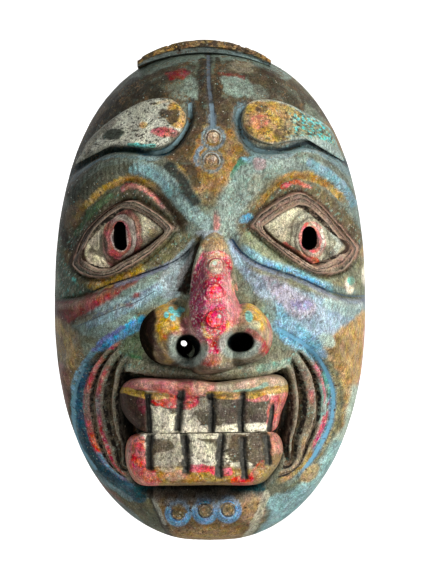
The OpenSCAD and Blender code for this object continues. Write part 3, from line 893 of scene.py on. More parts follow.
class Paint:
    """Colours and wear laid over points in the plan of the face."""

    def __init__(self, p, base, seed=1, ground=OLD_WOOD, wear=0.4):
        self.p = p
        self.clean_u, self.clean_v = plan(p[:, 0], p[:, 2], -p[:, 1])
        a, b = cloud(p, 8, 3, seed) - 0.5, cloud(p, 8, 3, seed + 50) - 0.5
        self.u, self.v = self.clean_u + 3.2 * a, self.clean_v + 3.2 * b
        self.fray = cloud(p, 3.2, 3, seed + 90)
        n = len(p)
        self.rgb = np.tile(np.array(base, float), (n, 1))
        self.ground = np.tile(np.array(ground, float), (n, 1))
        self.wear = np.full(n, wear)
        self.speck = np.full(n, 0.15)
        # Grime, and painted shade in hollows, holes and shaded places, which the material darkens by
        self.dirt = np.zeros(n)
        self.lines = np.zeros((n, 4))
        self.thin = np.tile([9.0, 0.0, 0.0], (n, 1))
        self.thin_rgb = np.zeros((n, 4))

    def lay(self, amount, colour=None, wear=None, speck=None, dirt=None, ground=None):
        a = clamp(amount)
        if colour is not None:
            self.rgb += (np.asarray(colour, float) - self.rgb) * a[:, None]
        if ground is not None:
            self.ground += (np.array(ground, float) - self.ground) * a[:, None]
        if wear is not None:
            self.wear += (wear - self.wear) * a
        if speck is not None:
            self.speck += (speck - self.speck) * a
        if dirt is not None:
            self.dirt += (dirt - self.dirt) * a

    def dab(self, cx, cz, rx, rz, colour=None, tilt=0, amount=1.0, soft=0.18, **marks):
        u, v = (self.u, self.v) if max(rx, rz) > 6 else (self.clean_u, self.clean_v)
        a, b = tilted(u, v, cx, cz, tilt)
        q = np.hypot(a / rx, b / rz) + 0.5 * (self.fray - 0.5)
        self.lay(amount * (1 - ease(q, 1 - soft, 1 + soft)), colour, **marks)

    def stroke(self, line, width, colour=None, amount=1.0, soft=0.17, start=-0.1, end=1.1, **marks):
        line = np.asarray(line, float)
        if len(line) < 12:
            line = curve(line)
        d, a = to_line(self.u, self.v, line)
        q = d / (width / 2) + 0.4 * (self.fray - 0.5)
        run = ease(a, start - 0.06, start + 0.06) * (1 - ease(a, end - 0.06, end + 0.06))
        self.lay(amount * (1 - ease(q, 1 - soft, 1 + soft)) * run, colour, **marks)

    def hairline(self, line, width, colour, amount=1.0, start=-0.1, end=1.1):
        """A thin line that the material draws: the points only carry how far away it is."""
        line = np.asarray(line, float)
        if len(line) < 12:
            line = curve(line)
        d, a = to_side(self.clean_u, self.clean_v, line)
        run = ease(a, start - 0.04, start + 0.04) * (1 - ease(a, end - 0.04, end + 0.04))
        cover = amount * run * (1 - ease(np.abs(d), 2.5, 4.5)) * (a > 0) * (a < 1)
        near = (cover > 0) & (np.abs(d) < self.thin[:, 2] + 9 * (self.thin_rgb[:, 3] == 0))
        self.thin[near, 0] = d[near] / (width / 2)
        self.thin[near, 2] = np.abs(d[near])
        self.thin_rgb[near] = np.column_stack([np.tile(colour, (near.sum(), 1)), cover[near]])

    def area(self, ring, colour=None, amount=1.0, soft=1.2, smooth=True, **marks):
        ring = curve(ring, 5, True) if smooth and len(ring) < 24 else np.asarray(ring, float)
        d = to_ring(self.u, self.v, ring)
        self.lay(amount * (1 - ease(d + 2.6 * (self.fray - 0.5), -0.5 * soft, 0.5 * soft)), colour, **marks)

    def hoop(self, cx, cz, r, width, colour, amount=1.0, rz=None, **marks):
        q = np.hypot((self.clean_u - cx), (self.clean_v - cz) * r / (rz or r))
        self.lay(amount * (1 - ease(np.abs(q - r) / (width / 2), 0.6, 1.3)), colour, **marks)

    def flecks(self, colour, amount, size=1.8, seed=0, gate=None, level=0.62):
        n = cloud(self.p, size, 2, 300 + seed)
        g = 1.0 if gate is None else gate
        self.lay(amount * g * ease(n, level, level + 0.06), colour)

    def put(self, obj, gain=PAINT_GAIN):
        mesh = obj.data
        n = len(mesh.vertices)
        for name, rgb in (("paint", self.rgb * gain), ("ground", self.ground * gain),
                          ("marks", np.column_stack([self.wear, self.speck, self.dirt]))):
            layer = mesh.attributes.new(name, "FLOAT_COLOR", "POINT")
            rgba = np.column_stack([clamp(rgb, 0, 0.92 if name != "marks" else 1.0), np.ones(n)])
            layer.data.foreach_set("color", rgba.ravel().astype(np.float32))
        if self.lines.any():
            self.thin_rgb[:, :3] *= gain
            self.thin[:, 1:] = 0
            thin = np.column_stack([self.thin, np.ones(n)])
            for name, values in (("lines", self.lines), ("thin", thin), ("thin_colour", self.thin_rgb)):
                layer = mesh.attributes.new(name, "FLOAT_COLOR", "POINT")
                layer.data.foreach_set("color", values.ravel().astype(np.float32))


# Near-black paint for the walls of sight and air holes: painted shade where no light reaches
def paint_hole_shade(paint, where):
    paint.lay(where, (0.004, 0.003, 0.003), wear=0, speck=0, dirt=1.0, ground=(0.004, 0.003, 0.003))


def finish_back(paint, p, front_tree=None, keep=1.2, bores=PUPILS + NOSTRILS):
    """Bare old wood behind the painted front, and near-black painted shade on the walls of the sight and air
    holes.
    """
    behind = surface(paint.clean_u, paint.clean_v, front_tree) + p[:, 1]
    hidden = ease(behind, keep, keep + 1.6)
    hole = in_bore(p, bores, 0.35) & (behind > 0.3)
    paint.lay(hidden, (0.17, 0.105, 0.055), wear=1.0, speck=0, dirt=0.15, ground=(0.150, 0.095, 0.050))
    paint_hole_shade(paint, hole)
    return behind


# Colours, as linear light
INK = (0.016, 0.020, 0.018)
GREEN_BLACK = (0.045, 0.065, 0.045)
GREY_TEAL = (0.165, 0.215, 0.185)
SKY = (0.19, 0.42, 0.60)
GOLD = (0.42, 0.27, 0.075)
UMBER = (0.085, 0.058, 0.034)
RED = (0.55, 0.055, 0.065)
ROSE = (0.46, 0.165, 0.150)
CREAM = (0.52, 0.49, 0.38)
TURQUOISE = (0.10, 0.50, 0.46)
GREEN = (0.085, 0.20, 0.095)


def fold_line(share, at, half):
    """A band of paint along the folds, round a share of the way across them."""
    return np.exp(-(((share - at) / half) ** 4))


def paint_shell():
    p = points_of(shell)
    q = Paint(p, (0.135, 0.150, 0.105), 1, OLD_WOOD, 0.42)
    u, v = q.u, q.v
    q.lay(ease(cloud(p, 16, 3, 5), 0.45, 0.62), (0.17, 0.16, 0.095))
    q.lay(ease(cloud(p, 12, 3, 6), 0.5, 0.66) * 0.7, GREY_TEAL)
    # Forehead: worn dark brown, with what is left of a grey-teal coat
    q.area([(-84, 60), (-72, 96), (-50, 124), (-22, 138), (20, 140), (52, 124), (72, 100), (82, 70),
            (40, 84), (10, 92), (-20, 88), (-50, 84)], (0.070, 0.055, 0.035), 0.96, 3, wear=0.5,
           ground=(0.12, 0.08, 0.042))
    old = ease(cloud(p, 15, 4, 61), 0.53, 0.57) * ease(v, 84, 92)
    q.lay(old * 0.85, (0.125, 0.150, 0.115))
    q.stroke([(-46, 130), (-22, 138.5), (0, 140.5), (24, 139), (46, 129)], 6.5, (0.185, 0.245, 0.22), 0.9)
    q.dab(-26, 124, 13, 5, (0.135, 0.165, 0.125), 14, 0.8)
    q.dab(-15, 117, 8, 3.6, (0.20, 0.24, 0.20), -8, 0.75)
    q.dab(27, 119, 9, 4.5, (0.15, 0.18, 0.155), -10, 0.75)
    q.dab(20, 133.5, 9, 3.4, (0.27, 0.25, 0.18), -8, 0.85)
    q.dab(47, 117, 9, 5, (0.15, 0.165, 0.13), -38, 0.8)
    q.area([(-12, 131), (-26, 129), (-38, 122), (-30, 122), (-16, 127)], (0.040, 0.030, 0.018), 0.85, 1.5)
    q.area([(34, 127), (48, 120), (60, 104), (50, 110), (40, 118)], (0.045, 0.034, 0.020), 0.8, 2)
    q.area([(-26, 119), (-44, 128), (-52, 120), (-42, 114), (-30, 115)], (0.034, 0.026, 0.016), 0.85, 1.5)
    q.dab(-11, 121.5, 5, 6.5, (0.20, 0.27, 0.235), 6, 0.9, wear=0.3)
    q.area([(8, 129), (20, 128), (26, 122), (24, 117), (14, 116), (8, 121)], (0.20, 0.27, 0.24), 0.9, 1.2,
           wear=0.3)
    q.stroke([(-4.5, 137), (-5.5, 124), (-5, 110), (-4.5, 98)], 4.6, (0.032, 0.024, 0.016), 0.9)
    q.stroke([(4.5, 138), (5, 124), (6.5, 110), (9, 100)], 3.6, (0.036, 0.026, 0.016), 0.85)
    q.stroke([(-7.5, 112), (-8.5, 104), (-8, 98)], 3.0, (0.10, 0.065, 0.03), 0.8)
    q.dab(33, 131, 9, 2.6, (0.045, 0.033, 0.02), -14, 0.8)
    q.dab(-36, 132, 8, 2.4, (0.20, 0.26, 0.23), 22, 0.8)
    q.area([(-16, 132.5), (-27, 130), (-24, 126.5), (-15, 127), (-11, 130)], (0.24, 0.050, 0.045), 0.9, 1,
           smooth=False)
    q.stroke([(6, 130), (13, 129), (20, 127.5)], 2.0, (0.15, 0.045, 0.035), 0.9)
    # Outer forehead, dark with ochre streaks
    q.area([(-94, 20), (-92, 60), (-80, 92), (-58, 118), (-50, 108), (-68, 92), (-80, 70), (-88, 20)],
           (0.050, 0.042, 0.026), 0.92, 3, wear=0.5, ground=(0.13, 0.085, 0.04))
    q.stroke([(-88, 64), (-78, 90), (-62, 110)], 3.0, (0.19, 0.115, 0.05), 0.6)
    q.stroke([(-90, 44), (-84, 68), (-76, 84)], 2.5, (0.10, 0.125, 0.10), 0.6)
    q.area([(62, 112), (76, 96), (88, 68), (93, 30), (84, 48), (76, 72), (66, 92), (56, 106)],
           (0.17, 0.205, 0.165), 0.9, 3, wear=0.4, ground=(0.16, 0.10, 0.05))
    q.stroke([(93, 40), (88, 66), (78, 88), (70, 100)], 3.5, (0.22, 0.135, 0.06), 0.7)
    q.stroke([(60, 113), (76, 98), (86, 76)], 3.4, (0.050, 0.036, 0.022), 0.75)
    # Gold V round the rings, down to the bridge
    q.area([(-10, 98), (12, 98), (22, 86), (20, 70), (8, 56), (0, 48), (-10, 54), (-22, 68), (-27, 80),
            (-16, 90)], (0.225, 0.135, 0.050), 0.96, 3, wear=0.42, ground=(0.055, 0.036, 0.020))
    q.stroke([(-25, 80), (-14, 66), (-3, 54)], 5, (0.33, 0.20, 0.055), 0.7)
    q.stroke([(20, 92), (14, 78), (6, 62)], 5, (0.28, 0.165, 0.055), 0.6)
    q.area([(-12, 114), (-4, 108), (-6, 94), (-18, 86), (-14, 98)], (0.055, 0.042, 0.028), 0.85, 2)
    q.area([(5, 112), (12, 112), (16, 98), (22, 92), (12, 96), (6, 100)], (0.075, 0.055, 0.034), 0.8, 2)
    q.area([(-22, 84), (-12, 80), (-8, 88), (-14, 92)], (0.045, 0.036, 0.024), 0.75, 2)
    # Blue stripe that ends in a drop at the first ring
    q.stroke([(-1.0, 141), (-0.8, 126), (0.8, 112), (2, 98)], 4.0, (0.035, 0.032, 0.034), 0.85)
    q.hairline([(-1.0, 141), (-0.6, 124), (1.0, 110), (2, 97)], 2.2, (0.085, 0.108, 0.135), 0.97, end=0.62)
    q.hairline([(0.9, 112), (1.6, 104), (2, 96)], 2.8, (0.13, 0.19, 0.24), 0.97)
    q.stroke([(1.2, 104), (2, 96)], 4.6, (0.14, 0.19, 0.24), 0.9)
    q.hoop(2, 91.5, 6.5, 2.0, (0.15, 0.215, 0.255), 0.95)
    q.hoop(1, 77.5, 6.5, 1.7, (0.12, 0.150, 0.160), 0.9)
    q.stroke([(-5, 86), (-8, 80), (-8, 76)], 2.4, (0.13, 0.20, 0.28), 0.85)
    # Bridge of the nose
    q.area([(-12, 48), (10, 50), (22, 36), (14, 26), (10, 34), (-6, 34), (-14, 30), (-20, 38)],
           (0.20, 0.265, 0.245), 0.75, 3)
    q.dab(-4, 53, 10, 6, (0.085, 0.10, 0.065), 0, 0.7)
    q.dab(4, 41, 2, 6.5, ROSE, 0, 0.85)
    q.dab(-1, 33, 8, 3, (0.33, 0.40, 0.48), 0, 0.7)
    q.area([(11, 60), (12, 70), (18, 80), (24, 78), (28, 72), (20, 62), (14, 56)], (0.045, 0.185, 0.125),
           0.97, 0.6, smooth=False, wear=0.15)
    q.area([(18, 80), (34, 80), (27, 70)], (0.17, 0.40, 0.50), 0.95, 0.6, smooth=False, wear=0.15)
    # Brow ridges
    q.stroke(RIDGE_L, 17, (0.105, 0.115, 0.088), 0.95, 0.25, wear=0.34)
    q.stroke([(-88, 50), (-76, 66), (-60, 76), (-40, 78)], 3, (0.16, 0.22, 0.20), 0.6)
    q.stroke([(-42, 73), (-32, 70), (-24, 62), (-16, 52), (-8, 44), (-3, 40)], 9, (0.23, 0.345, 0.35), 0.95,
             wear=0.15)
    q.stroke([(-46, 72), (-38, 71.5), (-30, 66), (-24, 58)], 5, (0.25, 0.46, 0.52), 0.85)
    q.stroke([(-26, 84), (-14, 76), (-8, 64)], 6, (0.045, 0.034, 0.022), 0.85)
    q.stroke([(-24, 74), (-16, 64), (-9, 53)], 6, INK, 0.95, wear=0.1)
    q.stroke([(-24, 66), (-14, 55), (-8, 46)], 2, (0.03, 0.05, 0.06), 0.7)
    hatch = ease(np.sin(u * 2.3 + 1.5 * noise(p, 9, 7)), 0.2, 0.9)
    d, _ = to_line(u, v, RIDGE_L)
    q.lay(hatch * (d < 7) * ease(-u, 38, 46) * 0.75, (0.05, 0.055, 0.04))
    q.stroke([(12, 46), (16, 58), (24, 68), (38, 76), (56, 78), (72, 70), (86, 52), (91, 34)], 17,
             (0.20, 0.265, 0.25), 0.95, 0.3, wear=0.2, speck=0.3)
    q.stroke([(14, 34), (18, 48), (26, 60)], 12, (0.225, 0.30, 0.285), 0.85)
    q.stroke([(40, 80), (58, 81), (74, 73), (88, 56)], 3, (0.12, 0.13, 0.10), 0.75)
    q.stroke([(22, 62), (32, 70), (44, 72)], 2, (0.13, 0.17, 0.15), 0.7)
    q.dab(30, 76, 4, 4, (0.36, 0.25, 0.28), 0, 0.7)
    q.stroke([(60, 76), (76, 66), (86, 52)], 5, SKY, 0.55)
    q.dab(30, 62, 7, 8, (0.19, 0.20, 0.15), 0, 0.5)
    # Brow panel edges: pale blue lines, and dark blue-black painted shadow in the grooves under the panels
    q.stroke(BROW_GROOVE_L, 5.6, (0.035, 0.040, 0.038), 0.85, end=0.45)
    q.hairline(BROW_GROOVE_L, 2.6, (0.15, 0.245, 0.285), 0.97, end=0.45)
    q.stroke(BROW_GROOVE_L, 4.0, (0.014, 0.050, 0.075), 0.97, start=0.30, dirt=0.4)
    q.stroke(BROW_GROOVE_L + (0, -3.4), 2.6, (0.12, 0.22, 0.27), 0.9, start=0.40)
    q.stroke(BROW_GROOVE_R + (-0.6, 0), 5.8, (0.07, 0.10, 0.11), 0.9)
    q.stroke(BROW_GROOVE_R + (-0.6, -2.4), 4.0, (0.15, 0.24, 0.27), 0.95, start=0.3)
    q.hairline(BROW_GROOVE_R + (-0.4, 0), 2.8, (0.155, 0.255, 0.30), 0.97, end=0.45)
    q.hairline(BROW_GROOVE_R + (0, 1.0), 1.7, (0.02, 0.032, 0.040), 0.95, start=0.45)
    q.stroke([(32, 85), (45, 84), (58, 88), (70, 84)], 2.0, INK, 0.9)
    q.stroke([(-76, 78), (-60, 83), (-46, 82)], 6, GREEN_BLACK, 0.6)
    # Folds above the eyes: gold edge, red under it, then a dark band of painted shade between the lid and the
    # fold
    for fold, lid, s in ((FOLD_L, LID_L, 0), (FOLD_R, LID_R, 1)):
        d_lid = to_ring(q.u, q.v, lid)
        band = (v > np.interp(u, lid[:, 0].min() + np.array([0, 30, 66]), [18, 45, 34]) if s == 0 else v > 26)
        shade, start, end = ((0.065, 0.062, 0.038), 0.06, 0.66) if s == 0 else ((0.115, 0.095, 0.055), 0.10,
                                                                                0.86)
        q.lay((1 - ease(d_lid, 5, 9)) * band * (d_lid > 0), shade, wear=0.3, speck=0.5)
        q.stroke(fold + (0, 1.2), 4.2, GOLD, 0.95, start=start, end=end)
    q.stroke([(-52, 61), (-46, 62.5), (-38, 59), (-28, 51)], 3.2, ROSE, 0.85)
    q.stroke([(-28, 54), (-20, 45), (-16, 40)], 5, UMBER, 0.8)
    q.stroke([(44, 62), (52, 65), (60, 62)], 2.6, RED, 0.7)
    q.stroke([(24, 50), (33, 60), (42, 67)], 4, (0.15, 0.14, 0.09), 0.7)
    q.stroke([(-80, 34), (-70, 48), (-60, 56)], 3.5, GREEN, 0.6)
    # Under the eyes
    q.stroke([(-88, 20), (-80, 6), (-64, 1), (-46, 8), (-30, 18), (-16, 30)], 9, (0.13, 0.12, 0.065), 0.9,
             speck=0.6)
    q.stroke([(-84, 10), (-74, 2), (-60, 2.5), (-46, 8)], 6, (0.40, 0.265, 0.075), 0.9)
    q.dab(-87, 19, 4, 5, (0.33, 0.21, 0.08), 0, 0.8)
    q.stroke([(24, 30), (36, 20), (50, 10), (64, 4), (76, 2)], 10, (0.215, 0.25, 0.165), 0.9)
    q.area([(76, 6), (86, 12), (91, 26), (94, 22), (93, 8), (84, 0), (74, 2)], (0.34, 0.235, 0.10), 0.9, 2)
    # Lids: brown rims with fine pink lines
    for hole, lid, dark in ((EYE_HOLE_L, LID_L, (0.145, 0.105, 0.075)),
                            (EYE_HOLE_R, LID_R, (0.25, 0.165, 0.125))):
        d_in = to_ring(q.clean_u, q.clean_v, hole)
        d_out = to_ring(q.clean_u, q.clean_v, lid)
        across = clamp(d_in / np.maximum(0.5, d_in - d_out), -0.5, 1.5)
        lid_on = (d_in > -2.5) * ease(-d_out, -0.8, 0.8)
        q.lay(lid_on, dark, wear=0.2, speck=0.1)
        mid = hole.mean(0)
        q.lay(lid_on * ease(cloud(p, 5, 3, 63), 0.5, 0.62) * 0.7, np.array(dark) * 1.5)
        q.lay(lid_on * ease(cloud(p, 4, 3, 64), 0.54, 0.64) * 0.7, (0.075, 0.055, 0.038))
        # Darker on the upper lids: painted shade under the brows
        above = ease((v - mid[1]) + 0.25 * (-1 if mid[0] < 0 else 1) * (u - mid[0]), -3, 8)
        q.lay(lid_on * above * ease(across, 0.15, 0.3) * 0.85, np.array(dark) * (0.34 if mid[0] < 0 else 0.5))
        q.lines[:, 0] = np.where((d_in > -6) & (d_out < 6), across, q.lines[:, 0])
        q.lines[:, 1] = np.maximum(q.lines[:, 1], ease(d_in, -2.5, -1.5) * ease(-d_out, -0.8, 0.8))
    # Cheek grooves and the colours on each side of them
    q.area([(-94, 0), (-70, 0), (-48, 8), (-22, 18), (-8, 28), (-12, 8), (-22, -6), (-44, -14), (-40, -24),
            (-58, -30), (-76, -26), (-94, -14)], (0.18, 0.26, 0.245), 0.95, 3, wear=0.25)
    q.stroke([(-88, -16), (-60, -10), (-38, -2), (-20, 8)], 6, (0.25, 0.37, 0.41), 0.75)
    q.stroke([(-92, -22), (-70, -16), (-46, -8)], 4, (0.19, 0.17, 0.115), 0.7)
    q.area([(-96, -3), (-82, -4.5), (-68, -1), (-54, 4.6), (-40, 9.6), (-46, 3), (-57, -4), (-68, -11),
            (-82, -18.5), (-96, -23)], (0.26, 0.050, 0.040), 1.0, 1.6, wear=0.0, speck=0.1)
    q.stroke([(-93, -18), (-84, -15), (-74, -9), (-66, -4)], 3.6, (0.33, 0.085, 0.070), 0.8, 0.5)
    q.stroke([(-94, -5), (-82, -6.2), (-66, -1.6), (-54, 3.2)], 1.8, (0.06, 0.018, 0.014), 0.85, 0.4)
    q.stroke([(-94, -23), (-82, -19.5), (-70, -13)], 2.0, (0.06, 0.04, 0.028), 0.7, 0.4)
    q.stroke([(-70, 3.2), (-60, 4.6), (-48, 9), (-42, 12)], 5.6, (0.42, 0.265, 0.075), 0.92, speck=0.4)
    q.stroke([(-56, 3), (-40, 9), (-26, 15), (-16, 20)], 3.2, (0.20, 0.22, 0.33), 0.9)
    # Near-black line along the left cheek groove: painted shade in the groove
    q.hairline(CHEEK_L, 1.0, (0.012, 0.018, 0.03), 0.9, start=0.08, end=0.75)
    q.hairline([(-80, -22), (-62, -14), (-44, -7), (-32, 0)], 0.7, (0.05, 0.07, 0.10), 0.8)
    q.stroke([(-70, -16), (-56, -9.5), (-42, -3), (-28, 5)], 1.3, (0.09, 0.12, 0.19), 0.8)
    q.area([(-30, 8), (-10, 30), (-15, 6), (-20, -4), (-32, -2)], (0.30, 0.39, 0.45), 0.85, 2)
    q.stroke([(-72, -21), (-56, -14), (-42, -7), (-30, 0)], 5, (0.22, 0.36, 0.46), 0.7)
    # Near-black beside the left of the nose bridge: painted shade in the hollow by the nose
    q.area([(-5.6, 33), (-13, 14), (-20.5, -1), (-8, -3), (-6, 10)], (0.022, 0.013, 0.009), 0.98, 0.8,
           smooth=False, dirt=0.6)
    q.area([(-8, 30), (-20, 8), (-20.5, 0), (-13, 13)], (0.19, 0.18, 0.185), 0.85, 0.8, smooth=False)
    q.dab(-44, -3, 2.2, 1.4, (0.25, 0.06, 0.05), 10, 0.8)
    q.dab(-48, -9, 2.6, 1.2, (0.22, 0.05, 0.045), 20, 0.7)
    q.area([(12, 30), (26, 12), (44, 4), (70, -4), (94, -8), (94, -18), (80, -26), (60, -36), (46, -30),
            (38, -14), (28, -2), (16, 14)], (0.26, 0.36, 0.47), 0.95, 3, wear=0.22)
    q.area([(34, 8), (52, 0), (64, -9), (58, -17), (46, -13), (37, -4)], (0.33, 0.305, 0.40), 0.8, 3.5,
           speck=0.7)
    q.dab(55, -9, 6.5, 3, (0.18, 0.16, 0.33), -12, 0.7)
    q.stroke([(38, -14), (50, -26), (66, -36)], 13, (0.17, 0.36, 0.52), 0.8)
    q.dab(34, -14, 6, 9, (0.20, 0.26, 0.21), 0, 0.7, speck=0.5)
    q.stroke([(72, -8), (84, -12), (94, -13)], 8, (0.30, 0.42, 0.43), 0.85)
    q.stroke(CHEEK_R + (0, 3.0), 4.4, (0.20, 0.40, 0.50), 0.9, start=0.12, end=0.95, soft=0.4)
    q.stroke(CHEEK_R + (0, 2.0), 2.4, (0.13, 0.36, 0.60), 0.9, start=0.28, end=0.74, soft=0.35)
    q.stroke(CHEEK_R + (0, -1.6), 2.6, (0.17, 0.21, 0.33), 0.75, soft=0.4)
    q.hairline(CHEEK_R, 1.2, (0.022, 0.055, 0.12), 0.9, end=0.76)
    q.hairline(CHEEK_R + (0, 0.5), 0.9, (0.09, 0.15, 0.22), 0.8, start=0.76)
    q.dab(22, 43, 4.5, 2.4, (0.10, 0.30, 0.50), 20, 0.85)
    # Darker towards the outer edge and most on the left: painted shade on the side away from the light
    edge = reach_at(p[:, 0], p[:, 2])
    edge_and_left_shade = ease(edge, 0.72, 0.99) * (0.25 + 0.35 * ease(-u, -20, 70)) + 0.22 * ease(-u, 58, 88)
    q.rgb *= (1 - edge_and_left_shade)[:, None] * np.array([1.0, 0.97, 0.92])
    # Cheek dots
    for cx, cz, rx, rz, low, high in ((-83, 3, 2.8, 4.8, CREAM, TURQUOISE),
                                      (-92, 5.5, 2.0, 5.5, (0.26, 0.27, 0.2), None),
                                      (84, 3, 3.0, 5.0, (0.58, 0.50, 0.40), TURQUOISE),
                                      (93, 9, 2.2, 6, (0.5, 0.48, 0.38), None)):
        around = GREEN_BLACK if cx < 0 else (0.14, 0.15, 0.10)
        q.area([(cx - 8, cz - 7), (cx + 8, cz - 7), (cx + 8, cz + 9), (cx - 8, cz + 9)], around, 0.75, 3)
        q.dab(cx, cz, rx, rz, low, 0, 1.0, 0.2, wear=0.05, speck=0)
        if high:
            q.dab(cx + 0.6, cz + rz * 0.5, rx * 0.8, rz * 0.5, high, 0, 0.9)
    for k in range(9):
        q.dab(-55 + 1.5 * k, -24.5 + 1.05 * k + (0.9 if k % 2 else -0.5), 0.9, 0.9, (0.12, 0.52, 0.46), 0,
              0.95, wear=0.0)
    # Sides of the face
    q.area([(-97, 36), (-90, 32), (-86, 14), (-79, 3), (-68, -0.5), (-80, -3), (-97, -3)], GREEN_BLACK,
           0.85, 2.5, speck=0.6)
    q.dab(-81, 45, 6, 10, (0.10, 0.07, 0.04), -30, 0.6)
    q.area([(-95, -16), (-80, -26), (-76, -44), (-84, -60), (-92, -40)], (0.17, 0.13, 0.075), 0.85, 3,
           ground=(0.26, 0.17, 0.08), wear=0.5)
    q.stroke([(-92, -20), (-84, -34), (-84, -46)], 5, (0.30, 0.21, 0.09), 0.7)
    q.area([(-94, -44), (-84, -50), (-85, -80), (-74, -104), (-54, -126), (-40, -146), (-24, -152),
            (-60, -140), (-84, -104), (-94, -70)], (0.165, 0.085, 0.068), 0.92, 3, wear=0.3)
    q.stroke([(-86, -84), (-76, -106), (-60, -125), (-42, -139)], 4.5, (0.11, 0.15, 0.15), 0.8)
    q.stroke([(-84, -104), (-70, -122), (-50, -139)], 3.4, (0.25, 0.085, 0.075), 0.7)
    q.stroke([(-62, -128), (-48, -141), (-32, -149)], 5, (0.055, 0.055, 0.042), 0.8)
    q.area([(-66, -34), (-52, -24), (-42, -20), (-40, -40), (-44, -51), (-54, -50), (-60, -42)],
           (0.135, 0.185, 0.105), 0.95, 2, speck=0.3, wear=0.15)
    q.dab(-49, -42, 9, 4, (0.045, 0.150, 0.070), -10, 0.85)
    q.stroke([(-46, -50), (-40, -50), (-26, -47)], 5, (0.16, 0.18, 0.115), 0.7)
    q.area([(94, -14), (86, -18), (74, -26), (68, -34), (78, -52), (80, -74), (70, -98), (54, -116),
            (62, -124), (84, -94), (94, -56)], (0.37, 0.245, 0.105), 0.95, 3, wear=0.42, speck=0.05,
           ground=(0.24, 0.15, 0.065))
    q.stroke([(94, -20), (93, -44), (90, -62)], 4, (0.40, 0.22, 0.20), 0.7)
    q.dab(78, -34, 9, 7, (0.19, 0.125, 0.065), 0, 0.6)
    q.dab(70, -30, 6, 4, (0.30, 0.40, 0.36), -35, 0.8)
    q.stroke([(88, -60), (84, -80), (78, -90)], 7, (0.30, 0.42, 0.38), 0.8, 0.5)
    q.stroke([(77, -94), (66, -110), (52, -123), (38, -128)], 9, (0.22, 0.38, 0.39), 0.9, 0.4)
    q.area([(58, -118), (38, -124), (36, -134), (26, -148), (20, -152), (46, -144), (66, -122)],
           (0.21, 0.35, 0.37), 0.92, 3, wear=0.3)
    q.stroke([(70, -118), (52, -136), (30, -149)], 6, (0.15, 0.19, 0.115), 0.85)
    # Folds beside the mouth
    for rim, inner, s in ((RIM_L, INNER_L, -1), (RIM_R, INNER_R, 1)):
        share, _, _, a = across_folds(q.clean_u, q.clean_v, rim, inner)
        on = ease(-to_ring(q.clean_u, q.clean_v, np.vstack([rim, inner[::-1]])), -0.4, 0.6)
        on *= ease(a, 0.10, 0.2) * (1 - ease(a, 0.90, 0.97))
        q.lay(on, (0.135, 0.115, 0.078), wear=0.25, speck=0.7)
        # Darker towards the jaws: painted shade beside them
        q.lay(on * ease(share, 0.80, 0.95), (0.05, 0.042, 0.03))
        q.lines[:, 2] = np.where(s * u > 0, share, q.lines[:, 2])
        q.lines[:, 3] = np.maximum(q.lines[:, 3], on)
        red = on * fold_line(share, *((0.17, 0.065) if s < 0 else (0.14, 0.055)))
        if s < 0:
            q.stroke(rim + (-3.2, 1), 4.2, (0.16, 0.33, 0.42), 0.85, end=0.62)
            q.stroke([(-40, -19), (-54, -26), (-66, -34)], 7, (0.09, 0.33, 0.60), 0.9, wear=0.1)
            q.stroke([(-52, -22), (-62, -28), (-70, -36)], 2.6, (0.16, 0.15, 0.36), 0.8)
            q.hairline([(-75, -46), (-80.5, -60), (-82, -76), (-78, -93), (-68, -108)], 1.6,
                       (0.12, 0.27, 0.36), 0.9)
            q.stroke(rim, 5.0, (0.02, 0.085, 0.15), 0.97, start=0.30, dirt=0.2, wear=0.05)
            q.stroke([(-78, -88), (-70, -104), (-56, -117), (-42, -125)], 7, (0.02, 0.060, 0.085), 0.9)
            q.stroke([(-76, -98), (-64, -114), (-48, -126)], 3, (0.13, 0.20, 0.21), 0.7)
            q.lay(red, (0.62, 0.05, 0.075), speck=0.9, wear=0.0)
            q.lay(red * ease(-v, 84, 88) * (1 - ease(-v, 97, 100)), (0.72, 0.03, 0.03), speck=0.5)
            q.lay(red * ease(-v, 58, 64) * (1 - ease(-v, 76, 80)), (0.23, 0.12, 0.11), speck=1.0)
            q.lay(red * ease(-v, 96, 99), (0.13, 0.33, 0.52), speck=0.6)
            q.lay(on * fold_line(share, 0.42, 0.055) * ease(-v, 44, 50), (0.55, 0.05, 0.08), speck=1.0,
                  wear=0.0)
            q.lay(on * fold_line(share, 0.42, 0.06) * ease(-v, 60, 66) * (1 - ease(-v, 74, 80)),
                  (0.16, 0.13, 0.15), speck=1.0)
        else:
            q.stroke(rim + (2.2, 0.6), 4.4, (0.30, 0.25, 0.12), 0.6, start=0.3, end=0.8)
            q.stroke([(46, -27), (56, -32), (63, -39)], 8, (0.19, 0.42, 0.56), 0.85, wear=0.12)
            q.stroke(rim + (0.2, 0), 4.0, (0.09, 0.20, 0.29), 0.85, 0.35, start=0.03, end=0.84)
            q.hairline(rim + (0.5, 0), 2.3, (0.125, 0.33, 0.50), 0.85, end=0.82)
            q.lay(red * ease(a, 0.22, 0.3) * (1 - ease(a, 0.66, 0.72)), (0.52, 0.055, 0.14), speck=1.0,
                  wear=0.0)
            q.lay(on * fold_line(share, 0.215, 0.03) * ease(a, 0.32, 0.38) * (1 - ease(a, 0.55, 0.6)),
                  (0.16, 0.40, 0.36), speck=1.0)
            q.lay(on * (share < 0.24) * ease(a, 0.70, 0.74), (0.33, 0.22, 0.09), speck=0.4)
            q.lay(on * fold_line(share, 0.45, 0.06) * ease(-v, 45, 49) * (1 - ease(-v, 64, 70)),
                  (0.42, 0.085, 0.09), speck=0.8)
            q.lay(on * fold_line(share, 0.42, 0.06) * ease(-v, 82, 88), (0.30, 0.20, 0.085))
    q.stroke([(68, -50), (71, -62), (69, -74)], 2.4, TURQUOISE, 0.7, speck=1.0)
    q.dab(60, -110, 7, 4, (0.33, 0.22, 0.09), 40, 0.8)
